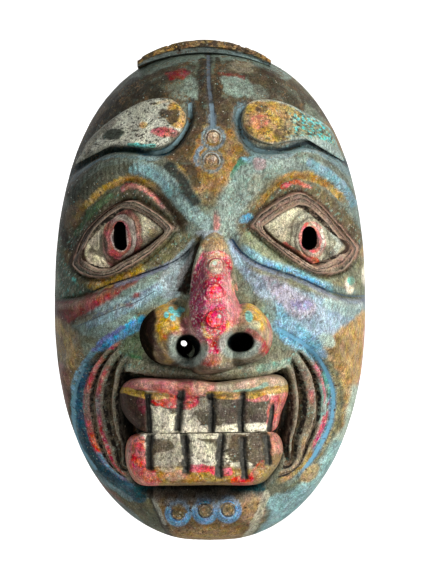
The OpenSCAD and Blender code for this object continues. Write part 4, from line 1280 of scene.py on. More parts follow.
    # Mouth recess: near-black as painted shade round the jaws, and dark blue with painted shadow under the
    # lower jaw
    d_mouth = to_ring(q.clean_u, q.clean_v, MOUTH)
    q.lay(1 - ease(d_mouth, -4, 0), (0.020, 0.022, 0.020), wear=0.05, speck=0.05, dirt=0.6)
    q.stroke([(-44, -121), (-20, -123), (10, -122.5), (30, -118)], 7, (0.008, 0.050, 0.060), 0.95)
    # Upper lip flap under the nose
    q.stroke([(-60, -40), (-44, -47), (-24, -50.5), (0, -52), (22, -49), (40, -46), (50, -42)], 9,
             (0.185, 0.19, 0.125), 0.95, speck=0.7, wear=0.3)
    q.stroke([(30, -47), (44, -44), (52, -40)], 5, (0.15, 0.27, 0.22), 0.7)
    q.stroke([(48, -38), (56, -46), (60, -58)], 5, (0.13, 0.115, 0.08), 0.8)
    # Chin
    q.area([(-36, -122), (34, -123), (28, -134), (22, -151), (-23, -151), (-30, -136)],
           (0.145, 0.088, 0.036), 0.96, 1.5, smooth=False, wear=0.45, ground=(0.045, 0.030, 0.018))
    q.stroke([(-34, -123), (-10, -122), (30, -124)], 6, (0.12, 0.10, 0.08), 0.8)
    q.stroke([(-26, -127), (-8, -125), (12, -125)], 4, (0.17, 0.20, 0.22), 0.6)
    q.dab(26, -132, 7, 8, (0.33, 0.22, 0.12), 0, 0.8)
    q.dab(0, -146, 20, 4, (0.27, 0.175, 0.07), 0, 0.8)
    q.stroke([(34, -122), (28, -138), (20, -151)], 4, (0.42, 0.42, 0.32), 0.7)
    q.stroke([(-37, -121), (-30, -136), (-23, -150)], 3.4, (0.035, 0.03, 0.022), 0.9)
    q.stroke([(-34, -126), (-27, -140)], 2.2, (0.40, 0.42, 0.36), 0.55)
    for cx, cz, r in STUD_RINGS["chin"]:
        q.hoop(cx, cz, r + 0.8, 2.6, (0.12, 0.27, 0.44), 0.9)
    # Chips of other colours all over
    q.flecks(TURQUOISE, 0.45, 1.5, 1, q.speck, 0.66)
    q.flecks(CREAM, 0.5, 1.2, 2, q.speck, 0.66)
    q.flecks((0.05, 0.035, 0.02), 0.6, 1.7, 3, 1.0, 0.66)
    # Grime and painted shade sit in the hollows, and the high places are rubbed
    depth = cavity_at(p)
    q.dirt = clamp(q.dirt + 0.9 * ease(depth, 0.15, 1.6))
    q.lay(ease(-depth, 0.25, 1.3) * 0.28, (0.34, 0.31, 0.24))
    behind = finish_back(q, p, bores=SHELL_BORES)
    # Painted shade: near-black down the sight and air holes
    paint_hole_shade(q, in_bore(p, PUPILS + NOSTRILS, 0.7) * (behind < 6))
    q.lines[:, (1, 3)] *= (behind < 1)[:, None]
    q.thin_rgb[:, 3] *= (behind < 1) & ~in_bore(p, PUPILS + NOSTRILS, 2.0)
    rim = ease(p[:, 1], -0.6, -0.1)
    q.lay(rim, (0.20, 0.125, 0.065), wear=1.0, dirt=0.1, speck=0, ground=(0.185, 0.118, 0.062))
    q.put(shell)


def cavity_at(p):
    """How deep each point lies under its surroundings, from the table made with the shell."""
    n = len(SHELL_FRONT)
    out = np.zeros(len(p))
    tree = KDTree(n)
    for k, co in enumerate(SHELL_FRONT):
        tree.insert(co, k)
    tree.balance()
    for k, co in enumerate(p):
        _, index, dist = tree.find(co)
        if dist < 1.0:
            out[k] = SHELL_CAVITY[index]
    return out


def paint_nose():
    p = points_of(nose)
    q = Paint(p, (0.25, 0.20, 0.13), 7, (0.14, 0.09, 0.05), 0.3)
    q.area([(-14, 30), (14, 30), (22, 6), (20, -4), (-16, -4), (-12, 14)], (0.24, 0.23, 0.155), 0.9, 3)
    q.dab(-8, 20, 4, 12, (0.25, 0.30, 0.24), 10, 0.6)
    q.stroke([(14, 30), (18, 14), (22, 0)], 6, (0.29, 0.36, 0.33), 0.7)
    q.dab(17, -3, 6, 7, (0.42, 0.22, 0.16), -20, 0.8)
    q.dab(4, 28, 9, 4, (0.36, 0.24, 0.11), 0, 0.8)
    # Wings
    q.dab(-27, -24, 18, 20, (0.24, 0.165, 0.07), 0, 0.9)
    q.dab(-26, -19, 8.5, 12, (0.44, 0.27, 0.06), 12, 0.95)
    q.stroke([(-38, -6), (-28, -3), (-20, -2)], 5, (0.30, 0.17, 0.12), 0.75)
    # Left wing and under the nose: near-black and dark brown as painted shade on the side away from the
    # light, and a painted shadow under the tip
    q.area([(-44, -20), (-38, -8), (-33, -12), (-34, -30), (-32, -42), (-20, -48), (-36, -48), (-44, -34)],
           (0.012, 0.010, 0.008), 0.98, 3.5, dirt=0.85, wear=0.0, speck=0)
    q.stroke([(-35, -14), (-35, -28), (-29, -40)], 4.5, (0.060, 0.036, 0.028), 0.8, 0.5)
    q.stroke([(-20, -46), (-8, -46), (4, -48)], 7, (0.06, 0.035, 0.025), 0.75)
    for k, (cx, cz, rx) in enumerate([(-26, -15, 1.6), (-23, -12, 1.8), (-19.5, -14, 2.2), (-22, -17, 1.7),
                                      (-17, -11.5, 1.8)]):
        q.dab(cx, cz, rx, rx * 1.2, (0.12, 0.45, 0.48), 20 * k, 0.9, wear=0.05)
    q.dab(-13, -22, 5, 6, (0.42, 0.17, 0.19), 0, 0.75)
    q.stroke([(-26, -28), (-20, -26), (-14, -25)], 3, (0.30, 0.05, 0.035), 0.7)
    q.dab(27, -22, 14, 16, (0.33, 0.22, 0.13), 0, 0.85)
    q.dab(28, -15, 6.5, 9, (0.52, 0.34, 0.10), 25, 0.9)
    q.dab(23.5, -16, 2.3, 3.5, (0.14, 0.50, 0.50), 10, 0.9)
    q.dab(27, -21, 4, 2.6, (0.40, 0.45, 0.34), 0, 0.7)
    q.stroke([(34, -10), (38, -20), (37, -32)], 5, (0.46, 0.24, 0.19), 0.85)
    q.stroke([(24, -26), (30, -31), (33, -37)], 6, (0.42, 0.045, 0.04), 0.85)
    q.dab(36, -17, 2, 6, (0.50, 0.15, 0.15), 0, 0.7)
    q.stroke([(8, -46), (20, -44.5), (32, -40)], 5, (0.13, 0.115, 0.085), 0.7, speck=0.6)
    q.dab(14, -12, 5, 10, (0.60, 0.17, 0.20), -12, 0.7)
    # Crimson ridge with pale specks
    q.area([(-9, 12), (-4, 22), (10, 22), (13, 8), (13, -8), (13, -22), (5, -38), (-7, -32), (-11, -12)],
           (0.56, 0.075, 0.13), 0.95, 2.2, speck=0.9, wear=0.12)
    q.area([(-11, 6), (-5, 18), (-3, 2), (-4, -20), (-6, -30), (-12, -14)], (0.26, 0.025, 0.085), 0.8, 1.6,
           speck=1.0)
    q.area([(8, 14), (13, 6), (14, -12), (12, -24), (9, -4)], (0.62, 0.26, 0.25), 0.75, 1.6, speck=0.6)
    q.dab(3, 20.5, 7, 2, (0.46, 0.27, 0.13), 0, 0.7)
    q.stroke([(-2, 9.5), (4, 8), (9, 9.5)], 2.2, (0.62, 0.10, 0.09), 0.9)
    q.dab(4, 14.5, 6, 4.4, (0.36, 0.38, 0.26), 0, 0.75)
    q.stroke([(-4, -20), (-3, -27), (4, -28.5), (10, -25), (11, -18)], 2.2, (0.52, 0.30, 0.08), 0.75)
    q.dab(3, -33, 6, 5, (0.46, 0.025, 0.055), 0, 0.9)
    q.dab(-3, -34, 2.4, 3.4, (0.36, 0.22, 0.06), 0, 0.7)
    q.dab(0, -42, 7, 4, (0.30, 0.085, 0.06), 0, 0.8)
    # Nostril rims, and funnels painted near-black as shade down the nostrils
    for cx, cz, rx, rz, tilt in NOSTRIL_RIMS:
        a, b = tilted(q.u, q.v, cx, cz, tilt)
        r = np.sqrt((a / rx) ** 2 + (b / rz) ** 2)
        q.lay((1 - ease(r, 1.25, 1.6)) * (0.85 - 0.6 * ease(q.v - cz + a * 0.3, 2, 6)), (0.27, 0.34, 0.31),
              wear=0.2, speck=0.3)
        a, b = tilted(q.clean_u, q.clean_v, cx, cz, tilt)
        r = np.sqrt((a / rx) ** 2 + (b / rz) ** 2)
        q.lay(1 - ease(r, 0.76, 0.94), (0.006, 0.011, 0.014), wear=0, speck=0, dirt=0.9)
    q.flecks((0.66, 0.60, 0.52), 0.8, 1.1, 11, q.speck, 0.62)
    q.flecks((0.16, 0.45, 0.44), 0.5, 1.4, 12, 0.35 * q.speck, 0.64)
    q.flecks((0.10, 0.06, 0.035), 0.55, 1.6, 13, 1.0, 0.67)
    finish_back(q, p, NOSE_TREE, keep=3.0)
    q.put(nose)


def paint_jaws():
    for obj, is_upper in ((upper, True), (lower, False)):
        p = points_of(obj)
        q = Paint(p, (0.56, 0.53, 0.42), 13 if is_upper else 14, (0.085, 0.070, 0.050), 0.42)
        u, v = q.u, q.v
        patch = cloud(p, 13, 3, 44)
        if is_upper:
            edge = lip_line(q.clean_u)
            # Tooth enamel is lost to the right of the middle
            q.area([(2, -62), (34, -62), (36, -80), (4, -78)], (0.055, 0.038, 0.030), 0.95, 2, speck=0.35,
                   wear=0.1)
            q.area([(-12, -64), (4, -63), (5, -75), (-10, -78)], (0.12, 0.105, 0.08), 0.7, 2.5, speck=0.4)
            q.lay(ease(patch, 0.56, 0.575) * (v < -66) * (u > -36), (0.085, 0.072, 0.050), speck=0.4)
            q.stroke([(-34, -83), (0, -83.4), (34, -82)], 4.2, (0.60, 0.565, 0.44), 0.9, wear=0.15)
            q.area([(-34, -62), (-9, -61), (-9, -69), (-20, -71), (-33, -69)], (0.50, 0.070, 0.062), 0.95,
                   1.2, speck=0.7, wear=0.3)
            q.dab(-12, -68, 5.5, 3.6, (0.52, 0.075, 0.07), 12, 0.9)
            q.stroke([(16, -63.5), (24, -64.5), (34, -64)], 4, (0.50, 0.17, 0.17), 0.75)
            # Near-black red-brown on the left end of the upper jaw: painted shade on the side away from the
            # light
            q.area([(-56, -58), (-38, -61), (-37, -85), (-46, -84), (-56, -70)], (0.040, 0.018, 0.012),
                   0.98, 2, wear=0.1, speck=0.1, dirt=0.4)
            q.dab(-40, -68, 3.5, 6, (0.17, 0.03, 0.04), 0, 0.8)
            q.area([(36, -66), (46, -60), (48, -66), (41, -84), (35, -84)], (0.54, 0.145, 0.125), 0.95, 1.3,
                   wear=0.15)
            # Lip
            lip = ease(q.clean_v, edge - 1.0, edge + 0.4)
            q.lay(lip * (1 - ease(u, -11, -7)), (0.46, 0.195, 0.175), wear=0.12, speck=0.2)
            q.lay(lip * (1 - ease(u, -11, -7)) * ease(-v, 57.5, 60.5), (0.46, 0.125, 0.105))
            q.lay(lip * ease(u, -11, -7) * (1 - ease(u, 2, 8)), (0.46, 0.255, 0.195), wear=0.2)
            q.lay(lip * ease(u, 2, 8), (0.36, 0.30, 0.205), wear=0.25, speck=0.3)
            q.dab(30, -55, 14, 3.2, (0.47, 0.32, 0.235), 6, 0.75)
            q.stroke([(16, -61), (26, -60), (34, -57)], 3, (0.22, 0.40, 0.32), 0.8)
            q.stroke([(-53, -60), (-44, -62.2), (-34, -63.6), (-26, -64)], 3.6, (0.55, 0.37, 0.10), 0.9)
            q.stroke([(0, -62.5), (14, -63.5), (28, -62), (40, -60), (47, -58.5)], 4.4, (0.42, 0.27, 0.07),
                     0.85, wear=0.3)
            gaps = UPPER_GAPS
        else:
            q.lay(ease(patch, 0.515, 0.53) * (u > -36) * (v > -106), (0.095, 0.078, 0.050), speck=0.5)
            q.area([(-33, -88), (-18, -88), (-18, -104), (-32, -104)], (0.11, 0.09, 0.055), 0.5, 3, speck=0.5)
            q.area([(8, -87), (34, -86), (33, -92), (22, -98), (10, -93)], (0.11, 0.082, 0.052), 0.8, 2,
                   speck=0.4)
            q.stroke([(-32, -87.4), (-10, -87.2), (6, -87.5)], 3.4, (0.60, 0.565, 0.44), 0.85, wear=0.15)
            q.dab(-2, -98, 7, 7, (0.50, 0.475, 0.37), 0, 0.7)
            # Lower lip, ochre with worn red
            band = ease(-v + 0.8 * np.sin(u / 5), 105, 108)
            q.lay(band, (0.215, 0.135, 0.045), wear=0.4, speck=0.5, ground=(0.07, 0.05, 0.025))
            q.lay(band * ease(cloud(p, 9, 3, 47), 0.5, 0.6), (0.33, 0.20, 0.06))
            q.stroke([(-14, -106.5), (-4, -107.5), (6, -109.5), (12, -109)], 4.6, (0.56, 0.10, 0.12), 0.9)
            q.area([(14, -112), (24, -110), (30, -102), (33, -104), (30, -113), (26, -117), (14, -117)],
                   (0.56, 0.055, 0.05), 0.9, 1.4)
            q.dab(-20, -111, 7, 4, (0.46, 0.25, 0.17), 0, 0.7)
            q.dab(-25, -107, 5, 2.4, (0.50, 0.45, 0.36), 0, 0.6)
            q.area([(-52, -86), (-40, -88), (-38, -100), (-34, -108), (-30, -117), (-44, -118), (-52, -106)],
                   (0.52, 0.115, 0.10), 0.92, 1.6, speck=0.5, wear=0.2)
            q.dab(-44, -103, 3.6, 5, (0.60, 0.04, 0.05), 0, 0.85)
            q.stroke([(-49, -92), (-49, -106), (-42, -116)], 2.4, (0.42, 0.24, 0.15), 0.7)
            q.area([(35, -85), (44, -88), (44, -100), (37, -104)], (0.47, 0.20, 0.145), 0.9, 1.4)
            q.area([(32, -102), (44, -98), (38, -112), (28, -117), (26, -112)], (0.26, 0.19, 0.075), 0.8, 1.6)
            gaps = LOWER_GAPS
        # Tooth gaps: darkened as painted shade in the grooves, with a black painted shadow line along one
        # wall
        for x, top, low, w in gaps:
            bend = x + (0.03 * (q.clean_v + 74) + 0.8 * np.sin((q.clean_v + x) / 7) if is_upper
                        else 0.8 * np.sin((q.clean_v - x) / 8))
            on = ease(-q.clean_v, -top - 1, -top + 2) * (1 - ease(-q.clean_v, -low, -low + 2.5))
            q.lay((1 - ease(np.abs(q.clean_u - bend) + 2.4 * (q.fray - 0.5), w * 0.8, w * 1.15)) * on,
                  (0.052, 0.052, 0.046), wear=0.1, speck=0.15)
            q.lay((1 - ease(np.abs(q.clean_u - bend - 0.8), 0.3, 0.9)) * on, (0.008, 0.008, 0.007), speck=0,
                  wear=0)
        on_lip = (q.clean_v > -62) | (q.clean_v < -107)
        q.flecks((0.05, 0.04, 0.028), 0.75, 1.7, 21, np.where(on_lip, 0.35, 0.9), 0.64)
        q.flecks((0.50, 0.47, 0.38), 0.55, 1.2, 22, q.speck, 0.63)
        # Darker along the jaw's outline, but not where the jaws meet: painted shade where the jaw meets the
        # face
        rim_near = to_ring(q.clean_u, q.clean_v, UPPER if is_upper else LOWER)
        q.lay(ease(-rim_near, 2.4, 0.0) * 0.35 * ease(np.abs(v + 86), 3, 6), (0.06, 0.045, 0.03))
        finish_back(q, p, tree_of(obj), keep=7.0)
        q.put(obj)


def paint_eyes():
    for obj, k, hole in ((eye_l, 0, EYE_HOLE_L), (eye_r, 1, EYE_HOLE_R)):
        p = points_of(obj)
        (ix, iz), rx, rz, tilt = IRIS[k]
        q = Paint(p, (0.54, 0.49, 0.36) if k == 0 else (0.46, 0.43, 0.305), 23 + k, (0.16, 0.13, 0.08), 0.1)
        q.speck[:] = 0.15
        q.lay(ease(cloud(p, 9, 3, 51), 0.52, 0.66) * 0.45, (0.27, 0.24, 0.165))
        a, b = tilted(q.u, q.v, ix, iz, tilt)
        r, ang = np.sqrt((a / rx) ** 2 + (b / rz) ** 2), np.arctan2(b, a)
        bands = ((1.46, (0.17, 0.12, 0.085)), (1.38, (0.50, 0.185, 0.165)), (1.12, (0.09, 0.035, 0.030)),
                 (1.05, (0.62, 0.56, 0.49)), (0.82, (0.13, 0.045, 0.04)), (0.77, (0.46, 0.13, 0.13)),
                 (0.62, (0.56, 0.50, 0.45)), (0.50, (0.012, 0.010, 0.009)))
        if k == 0:
            r = r / (1 + 0.26 * np.cos(ang - 0.1))
        if k == 1:
            bands = ((1.75, (0.26, 0.25, 0.18)), (1.55, (0.10, 0.095, 0.065)), (1.42, (0.36, 0.36, 0.27)),
                     (1.22, (0.12, 0.115, 0.085)), (1.10, (0.40, 0.38, 0.29)), (0.94, (0.46, 0.25, 0.215)),
                     (0.82, (0.42, 0.36, 0.30)), (0.70, (0.58, 0.12, 0.13)), (0.52, (0.05, 0.04, 0.03)))
        for out, rgb in bands:
            if k == 0 and out == 1.05:
                redder = ease(-np.cos(ang - 0.3), -0.3, 0.4)[:, None]
                rgb = np.array(rgb) + (np.array((0.42, 0.11, 0.11)) - rgb) * redder
            q.lay((1 - ease(r, out - 0.03, out + 0.03)) * (0.75 + 0.5 * (q.fray - 0.5)), rgb)
        # A darker wedge towards the upper lid: painted shadow of the lid on the eye
        gap = np.cos(ang - (0.9 if k == 0 else 2.4))
        q.lay((r < 1.5) * (r > 0.75) * ease(gap, 0.86, 0.97) * 0.5, (0.11, 0.09, 0.06))
        if k == 0:
            # Dark patch at the lower left of the eye: painted shadow
            q.area([(-73, 23), (-66, 20), (-58, 15), (-50, 16), (-60, 22), (-63, 34), (-68, 30)],
                   (0.055, 0.045, 0.032), 0.85, 1.5)
            q.stroke([(-68, 26), (-66, 38), (-60, 44)], 4, (0.44, 0.40, 0.30), 0.6)
            q.dab(-58, 22.5, 4, 2, (0.42, 0.10, 0.11), 0, 0.7)
            q.dab(-34, 34, 3.5, 3, (0.38, 0.30, 0.15), 30, 0.6)
        else:
            q.stroke([(45, 27), (51, 22.5), (57, 18.5), (63, 17)], 4.6, (0.50, 0.085, 0.070), 0.9)
            q.stroke([(57.5, 40), (55.2, 35), (55.0, 30), (57, 25)], 2.4, (0.58, 0.15, 0.145), 0.95)
            q.stroke([(67.4, 36), (68.6, 31), (67, 26)], 1.6, (0.62, 0.58, 0.50), 0.9)
            q.stroke([(74, 33), (78, 28), (74, 22)], 3.4, (0.34, 0.38, 0.33), 0.8)
            q.dab(72, 22, 3.4, 5, (0.12, 0.10, 0.07), 20, 0.7)
            q.dab(50, 20, 6, 5, (0.20, 0.185, 0.13), 0, 0.6)
        # Darker where the eye runs under the lids: painted shade
        d_in = to_ring(q.clean_u, q.clean_v, hole)
        q.lay(ease(d_in, -1.0, 0.8), (0.055, 0.033, 0.024), dirt=0.5)
        q.flecks((0.10, 0.075, 0.05), 0.6, 1.3, 31, 1.0, 0.66)
        finish_back(q, p, tree_of(obj), keep=5.0)
        # Painted shade: near-black down the sight hole
        paint_hole_shade(q, in_bore(p, PUPILS, 0.5))
        q.put(obj)


def paint_brows():
    for obj, side, ring in ((brow_l, -1, BROW_L), (brow_r, 1, BROW_R)):
        p = points_of(obj)
        if side < 0:
            q = Paint(p, (0.40, 0.41, 0.34), 33, (0.07, 0.055, 0.035), 0.34)
            q.speck[:] = 0.5
            q.dab(-48, 93, 15, 7, (0.47, 0.475, 0.40), 14, 0.9)
            q.dab(-58, 93.5, 6.5, 3.4, (0.022, 0.032, 0.022), 8, 0.95, speck=0.2)
            q.area([(-24, 113), (-15, 110), (-13, 101), (-20, 97), (-26, 103)], (0.40, 0.25, 0.075), 0.95,
                   1.6)
            q.dab(-27, 106, 3.4, 3, (0.05, 0.035, 0.022), 0, 0.9)
            q.dab(-27, 94.5, 8.5, 3.2, (0.44, 0.10, 0.10), -6, 0.9)
            q.stroke([(-34, 112), (-22, 113.5), (-15, 108), (-13.6, 100)], 1.8, (0.42, 0.34, 0.22), 0.8)
            q.dab(-22, 104, 4.6, 3.6, (0.05, 0.036, 0.024), 60, 0.9)
            q.dab(-40, 99, 2.6, 2, GOLD, 0, 0.8)
            q.stroke([(-48, 87), (-40, 86.6), (-34, 87)], 2.4, TURQUOISE, 0.8)
            q.dab(-21, 92, 4, 3.0, (0.07, 0.055, 0.03), 40, 0.7)
            q.stroke([(-76, 82), (-68, 92), (-58, 101)], 3.4, (0.17, 0.16, 0.12), 0.8)
            q.flecks((0.025, 0.022, 0.016), 0.9, 1.2, 41, 1.0, 0.60)
        else:
            q = Paint(p, (0.34, 0.225, 0.080), 34, (0.10, 0.068, 0.034), 0.40)
            q.speck[:] = 0.6
            q.lay(ease(q.u, 40, 58), (0.17, 0.20, 0.14))
            q.dab(30, 101, 7, 4, (0.46, 0.20, 0.14), 10, 0.8)
            q.dab(31, 109, 4, 2.4, (0.09, 0.06, 0.04), 0, 0.8)
            q.dab(23, 98, 3, 5, (0.13, 0.085, 0.05), 0, 0.7)
            q.dab(42, 94, 4, 3, (0.07, 0.055, 0.035), 0, 0.7)
            q.dab(52, 104, 5, 3, (0.40, 0.27, 0.09), 20, 0.7)
            q.flecks((0.10, 0.46, 0.46), 0.95, 2.2, 42, ease(q.u, 44, 54), 0.53)
            q.flecks((0.03, 0.03, 0.022), 0.9, 2.0, 43, ease(q.u, 34, 50), 0.56)
            q.flecks((0.05, 0.035, 0.02), 0.8, 1.8, 44, 1.0, 0.62)
            q.flecks((0.45, 0.33, 0.12), 0.6, 1.6, 45, 1.0, 0.64)
            q.stroke([(18, 104), (21, 111), (30, 114.6), (44, 113)], 1.6, (0.40, 0.36, 0.24), 0.8)
            q.area([(46, 92), (60, 92), (74, 88), (81, 78), (70, 84), (56, 88)], (0.25, 0.29, 0.24), 0.85,
                   1.2)
        d = to_ring(q.clean_u, q.clean_v, ring)
        q.lay(ease(d, -2.2, -0.4) * 0.55, (0.24, 0.32, 0.33) if side > 0 else (0.10, 0.105, 0.08))
        q.put(obj)


def paint_crest():
    p = points_of(crest)
    q = Paint(p, (0.12, 0.085, 0.05), 43, (0.055, 0.036, 0.022), 0.45)
    x, z = p[:, 0], p[:, 2]
    top = CREST_TOP_Z + np.sqrt(np.maximum(1, CREST_TOP_R ** 2 - (x - CREST_MID) ** 2))
    inner = CREST_INNER_Z + np.sqrt(CREST_INNER_R ** 2 - (x - CREST_MID) ** 2)
    f = (z - inner) / np.maximum(2.0, top - inner)
    wob = 0.14 * (cloud(p, 6, 3, 45) - 0.5) * 2
    front = ease(-p[:, 1], 15, 18)
    q.lay(front * (1 - ease(f + wob, 0.38, 0.46)), (0.075, 0.095, 0.090), speck=0.3, wear=0.45)
    q.lay(front * (1 - ease(f + wob, 0.34, 0.42)) * ease(x, 4, 18), (0.14, 0.20, 0.20))
    band = ease(f + wob, 0.40, 0.46) * (1 - ease(f + wob, 0.84, 0.96)) * front
    q.lay(band, (0.20, 0.125, 0.046), wear=0.55, speck=0.3, ground=(0.03, 0.022, 0.016))
    q.flecks((0.035, 0.026, 0.018), 0.85, 3.2, 46, band, 0.50)
    q.flecks((0.40, 0.27, 0.10), 0.7, 1.4, 48, band, 0.60)
    q.flecks((0.06, 0.04, 0.025), 0.6, 1.6, 47, 1.0, 0.62)
    q.put(crest)


# For each group of pegs: its piece, its rings, a colour for each head, the colour of its old coat, a
# highlight on each head (place and size), the highlight's colour and amount, and the painted hoops (share of
# the radius, width, colour and amount)
PEG_LOOKS = (
    (nose_pegs, NOSE_RINGS,
     ((0.52, 0.47, 0.32), (0.66, 0.07, 0.11), (0.66, 0.085, 0.12)), (0.52, 0.19, 0.16),
     ((-1, 1.6, 1.2, 1.2), (-3.2, -2.2, 1.2, 1.2), (3.0, 1.6, 1.2, 1.2)), (0.42, 0.56, 0.50), 0.9,
     ((0.93, 0.9, (0.30, 0.02, 0.05), 0.9),)),
    (forehead_pegs, STUD_RINGS["forehead"],
     ((0.30, 0.20, 0.13), (0.22, 0.15, 0.085)), (0.42, 0.33, 0.20),
     ((1.4, 1.6, 1.6, 1.5),) * 2, (0.50, 0.42, 0.33), 0.8,
     ((0.74, 1.0, (0.075, 0.065, 0.055), 0.9), (0.98, 1.2, (0.20, 0.27, 0.30), 0.85))),
    (chin_pegs, STUD_RINGS["chin"],
     ((0.105, 0.078, 0.04), (0.16, 0.135, 0.085), (0.14, 0.11, 0.06)), (0.30, 0.20, 0.09),
     (), None, 0,
     ((0.90, 1.9, (0.11, 0.27, 0.47), 0.95), (0.66, 0.9, (0.035, 0.05, 0.07), 0.9))),
)


def paint_pegs():
    for obj, rings, fills, old_coat, lights, light_rgb, light_amount, hoops in PEG_LOOKS:
        p = points_of(obj)
        q = Paint(p, fills[0], 53, (0.10, 0.06, 0.035), 0.25)
        q.speck[:] = 0.5
        for k, (cx, cz, r) in enumerate(rings):
            on = np.hypot(q.clean_u - cx, q.clean_v - cz) < r + 1.5
            q.lay(on, fills[k])
            q.lay(on * ease(cloud(p, 3.5, 2, 54), 0.5, 0.62) * 0.7, old_coat)
            for dx, dz, rx, rz in lights[k:k + 1]:
                q.dab(cx + dx, cz + dz, rx, rz, light_rgb, 0, light_amount)
            for share, width, rgb, amount in hoops:
                q.hoop(cx, cz, r * share, width, rgb, amount)
        q.flecks((0.60, 0.55, 0.46), 0.5, 1.0, 55, 0.7, 0.64)
        q.put(obj)


paint_shell()
paint_nose()
paint_jaws()
paint_eyes()
paint_brows()
paint_crest()
paint_pegs()


# ---------------------------------------------------------------- materials
class Graph:
    """Short way to write a material's nodes."""

    def __init__(self, name):
        self.mat = bpy.data.materials.new(name)
        self.mat.use_nodes = True
        self.tree = self.mat.node_tree
        self.tree.nodes.clear()
        self.place = self.add("TexCoord").outputs["Object"]

    def add(self, kind, **settings):
        node = self.tree.nodes.new("ShaderNode" + kind)
        for key, value in settings.items():
            setattr(node, key, value)
        return node

    def join(self, value, socket):
        if isinstance(value, bpy.types.NodeSocket):
            self.tree.links.new(value, socket)
        else:
            socket.default_value = value

    def math(self, kind, a, b=0.5, clamped=False):
        node = self.add("Math", operation=kind, use_clamp=clamped)
        self.join(a, node.inputs[0])
        self.join(b, node.inputs[1])
        return node.outputs[0]

    def remap(self, value, low, high, to_low=0.0, to_high=1.0, smooth=True):
        node = self.add("MapRange", interpolation_type="SMOOTHSTEP" if smooth else "LINEAR")
        for socket, v in zip(node.inputs[:5], (value, low, high, to_low, to_high)):
            self.join(v, socket)
        return node.outputs[0]

    def mix(self, amount, a, b, kind="MIX"):
        node = self.add("Mix", data_type="RGBA", blend_type=kind)
        self.join(amount, node.inputs[0])
        self.join(a, node.inputs[6])
        self.join(b, node.inputs[7])
        return node.outputs[2]

    def stretch(self, x, y, z):
        node = self.add("Mapping")
        self.join(self.place, node.inputs[0])
        node.inputs[3].default_value = (x, y, z)
        return node.outputs[0]

    def noise(self, scale, detail=4.0, rough=0.6, where=None, colour=False, swirl=0.0):
        node = self.add("TexNoise")
        self.join(where or self.place, node.inputs["Vector"])
        node.inputs["Scale"].default_value = scale
        node.inputs["Detail"].default_value = detail
        node.inputs["Roughness"].default_value = rough
        node.inputs["Distortion"].default_value = swirl
        return node.outputs["Color" if colour else "Fac"]

    def cells(self, scale):
        node = self.add("TexVoronoi")
        self.join(self.place, node.inputs["Vector"])
        node.inputs["Scale"].default_value = scale
        return node.outputs["Distance"], node.outputs["Color"]

    def ramp(self, value, stops):
        node = self.add("ValToRGB")
        ramp = node.color_ramp
        while len(ramp.elements) < len(stops):
            ramp.elements.new(0.5)
        for element, (at, rgb, *cover) in zip(ramp.elements, stops):
            element.position = at
            element.color = (*rgb, *cover) if cover else (*rgb, 1)
        self.join(value, node.inputs[0])
        return node.outputs

    def attribute(self, name):
        return self.add("Attribute", attribute_name=name).outputs["Color"]

    def finish(self, colour, roughness, height=None, depth=0.0004, metal=0.0, bump=0.6, shine=0.35):
        shader = self.add("BsdfPrincipled")
        self.join(colour, shader.inputs["Base Color"])
        self.join(roughness, shader.inputs["Roughness"])
        shader.inputs["Metallic"].default_value = metal
        self.join(shine, shader.inputs["Specular IOR Level"])
        if height is not None:
            node = self.add("Bump")
            node.inputs["Strength"].default_value = bump
            node.inputs["Distance"].default_value = depth
            self.join(height, node.inputs["Height"])
            self.join(node.outputs[0], shader.inputs["Normal"])
        out = self.add("OutputMaterial")
        self.join(shader.outputs[0], out.inputs[0])
        return self.mat


BLACK, CREASE, PALE_EDGE = (0.012, 0.009, 0.007), (0.030, 0.019, 0.014), (0.46, 0.36, 0.27)
PINK_EDGE = (0.45, 0.235, 0.185)
# Lines across a lid, from its inner edge to its outer edge: place, colour and cover. The black at the inner
# edge is painted shadow over the eye, and the black at the outer edge is painted shade in the fold round the
# lid.
LID_LINES = ((0.0, BLACK, 1.0), (0.05, CREASE, 1.0), (0.085, PALE_EDGE, 0.95), (0.14, PALE_EDGE, 0.9),
             (0.19, PINK_EDGE, 0.6), (0.25, CREASE, 0.0), (0.36, CREASE, 0.0), (0.40, CREASE, 0.9),
             (0.44, CREASE, 0.9), (0.48, PINK_EDGE, 0.5), (0.54, CREASE, 0.0), (0.65, BLACK, 0.9),
             (0.70, BLACK, 1.0), (0.74, PALE_EDGE, 0.9), (0.80, PINK_EDGE, 0.9), (0.86, CREASE, 0.1),
             (0.94, CREASE, 0.8), (0.98, BLACK, 0.8))
# Lines across the folds beside the mouth, from the rim to the jaws: the black bands lie in the carved grooves
# as painted shade
FOLD_LINES = ((0.0, BLACK, 0.0), (0.235, BLACK, 0.0), (0.262, BLACK, 1.0), (0.325, BLACK, 1.0),
              (0.35, PALE_EDGE, 0.75), (0.375, PALE_EDGE, 0.0), (0.54, BLACK, 0.0), (0.565, BLACK, 1.0),
              (0.655, BLACK, 1.0), (0.685, BLACK, 0.0), (0.735, PALE_EDGE, 0.0), (0.757, PALE_EDGE, 0.7),
              (0.785, PALE_EDGE, 0.0), (0.825, BLACK, 0.0), (0.85, BLACK, 1.0), (0.90, BLACK, 1.0),
              (0.925, BLACK, 0.0))


# Colours of the flecks of older coats, and where each begins on a scale from 0 to 1
FLECK_TINTS = ((0.0, (0.66, 0.60, 0.50)), (0.36, (0.16, 0.42, 0.40)), (0.48, (0.74, 0.70, 0.62)),
               (0.74, (0.05, 0.038, 0.026)), (0.90, (0.36, 0.22, 0.08)))


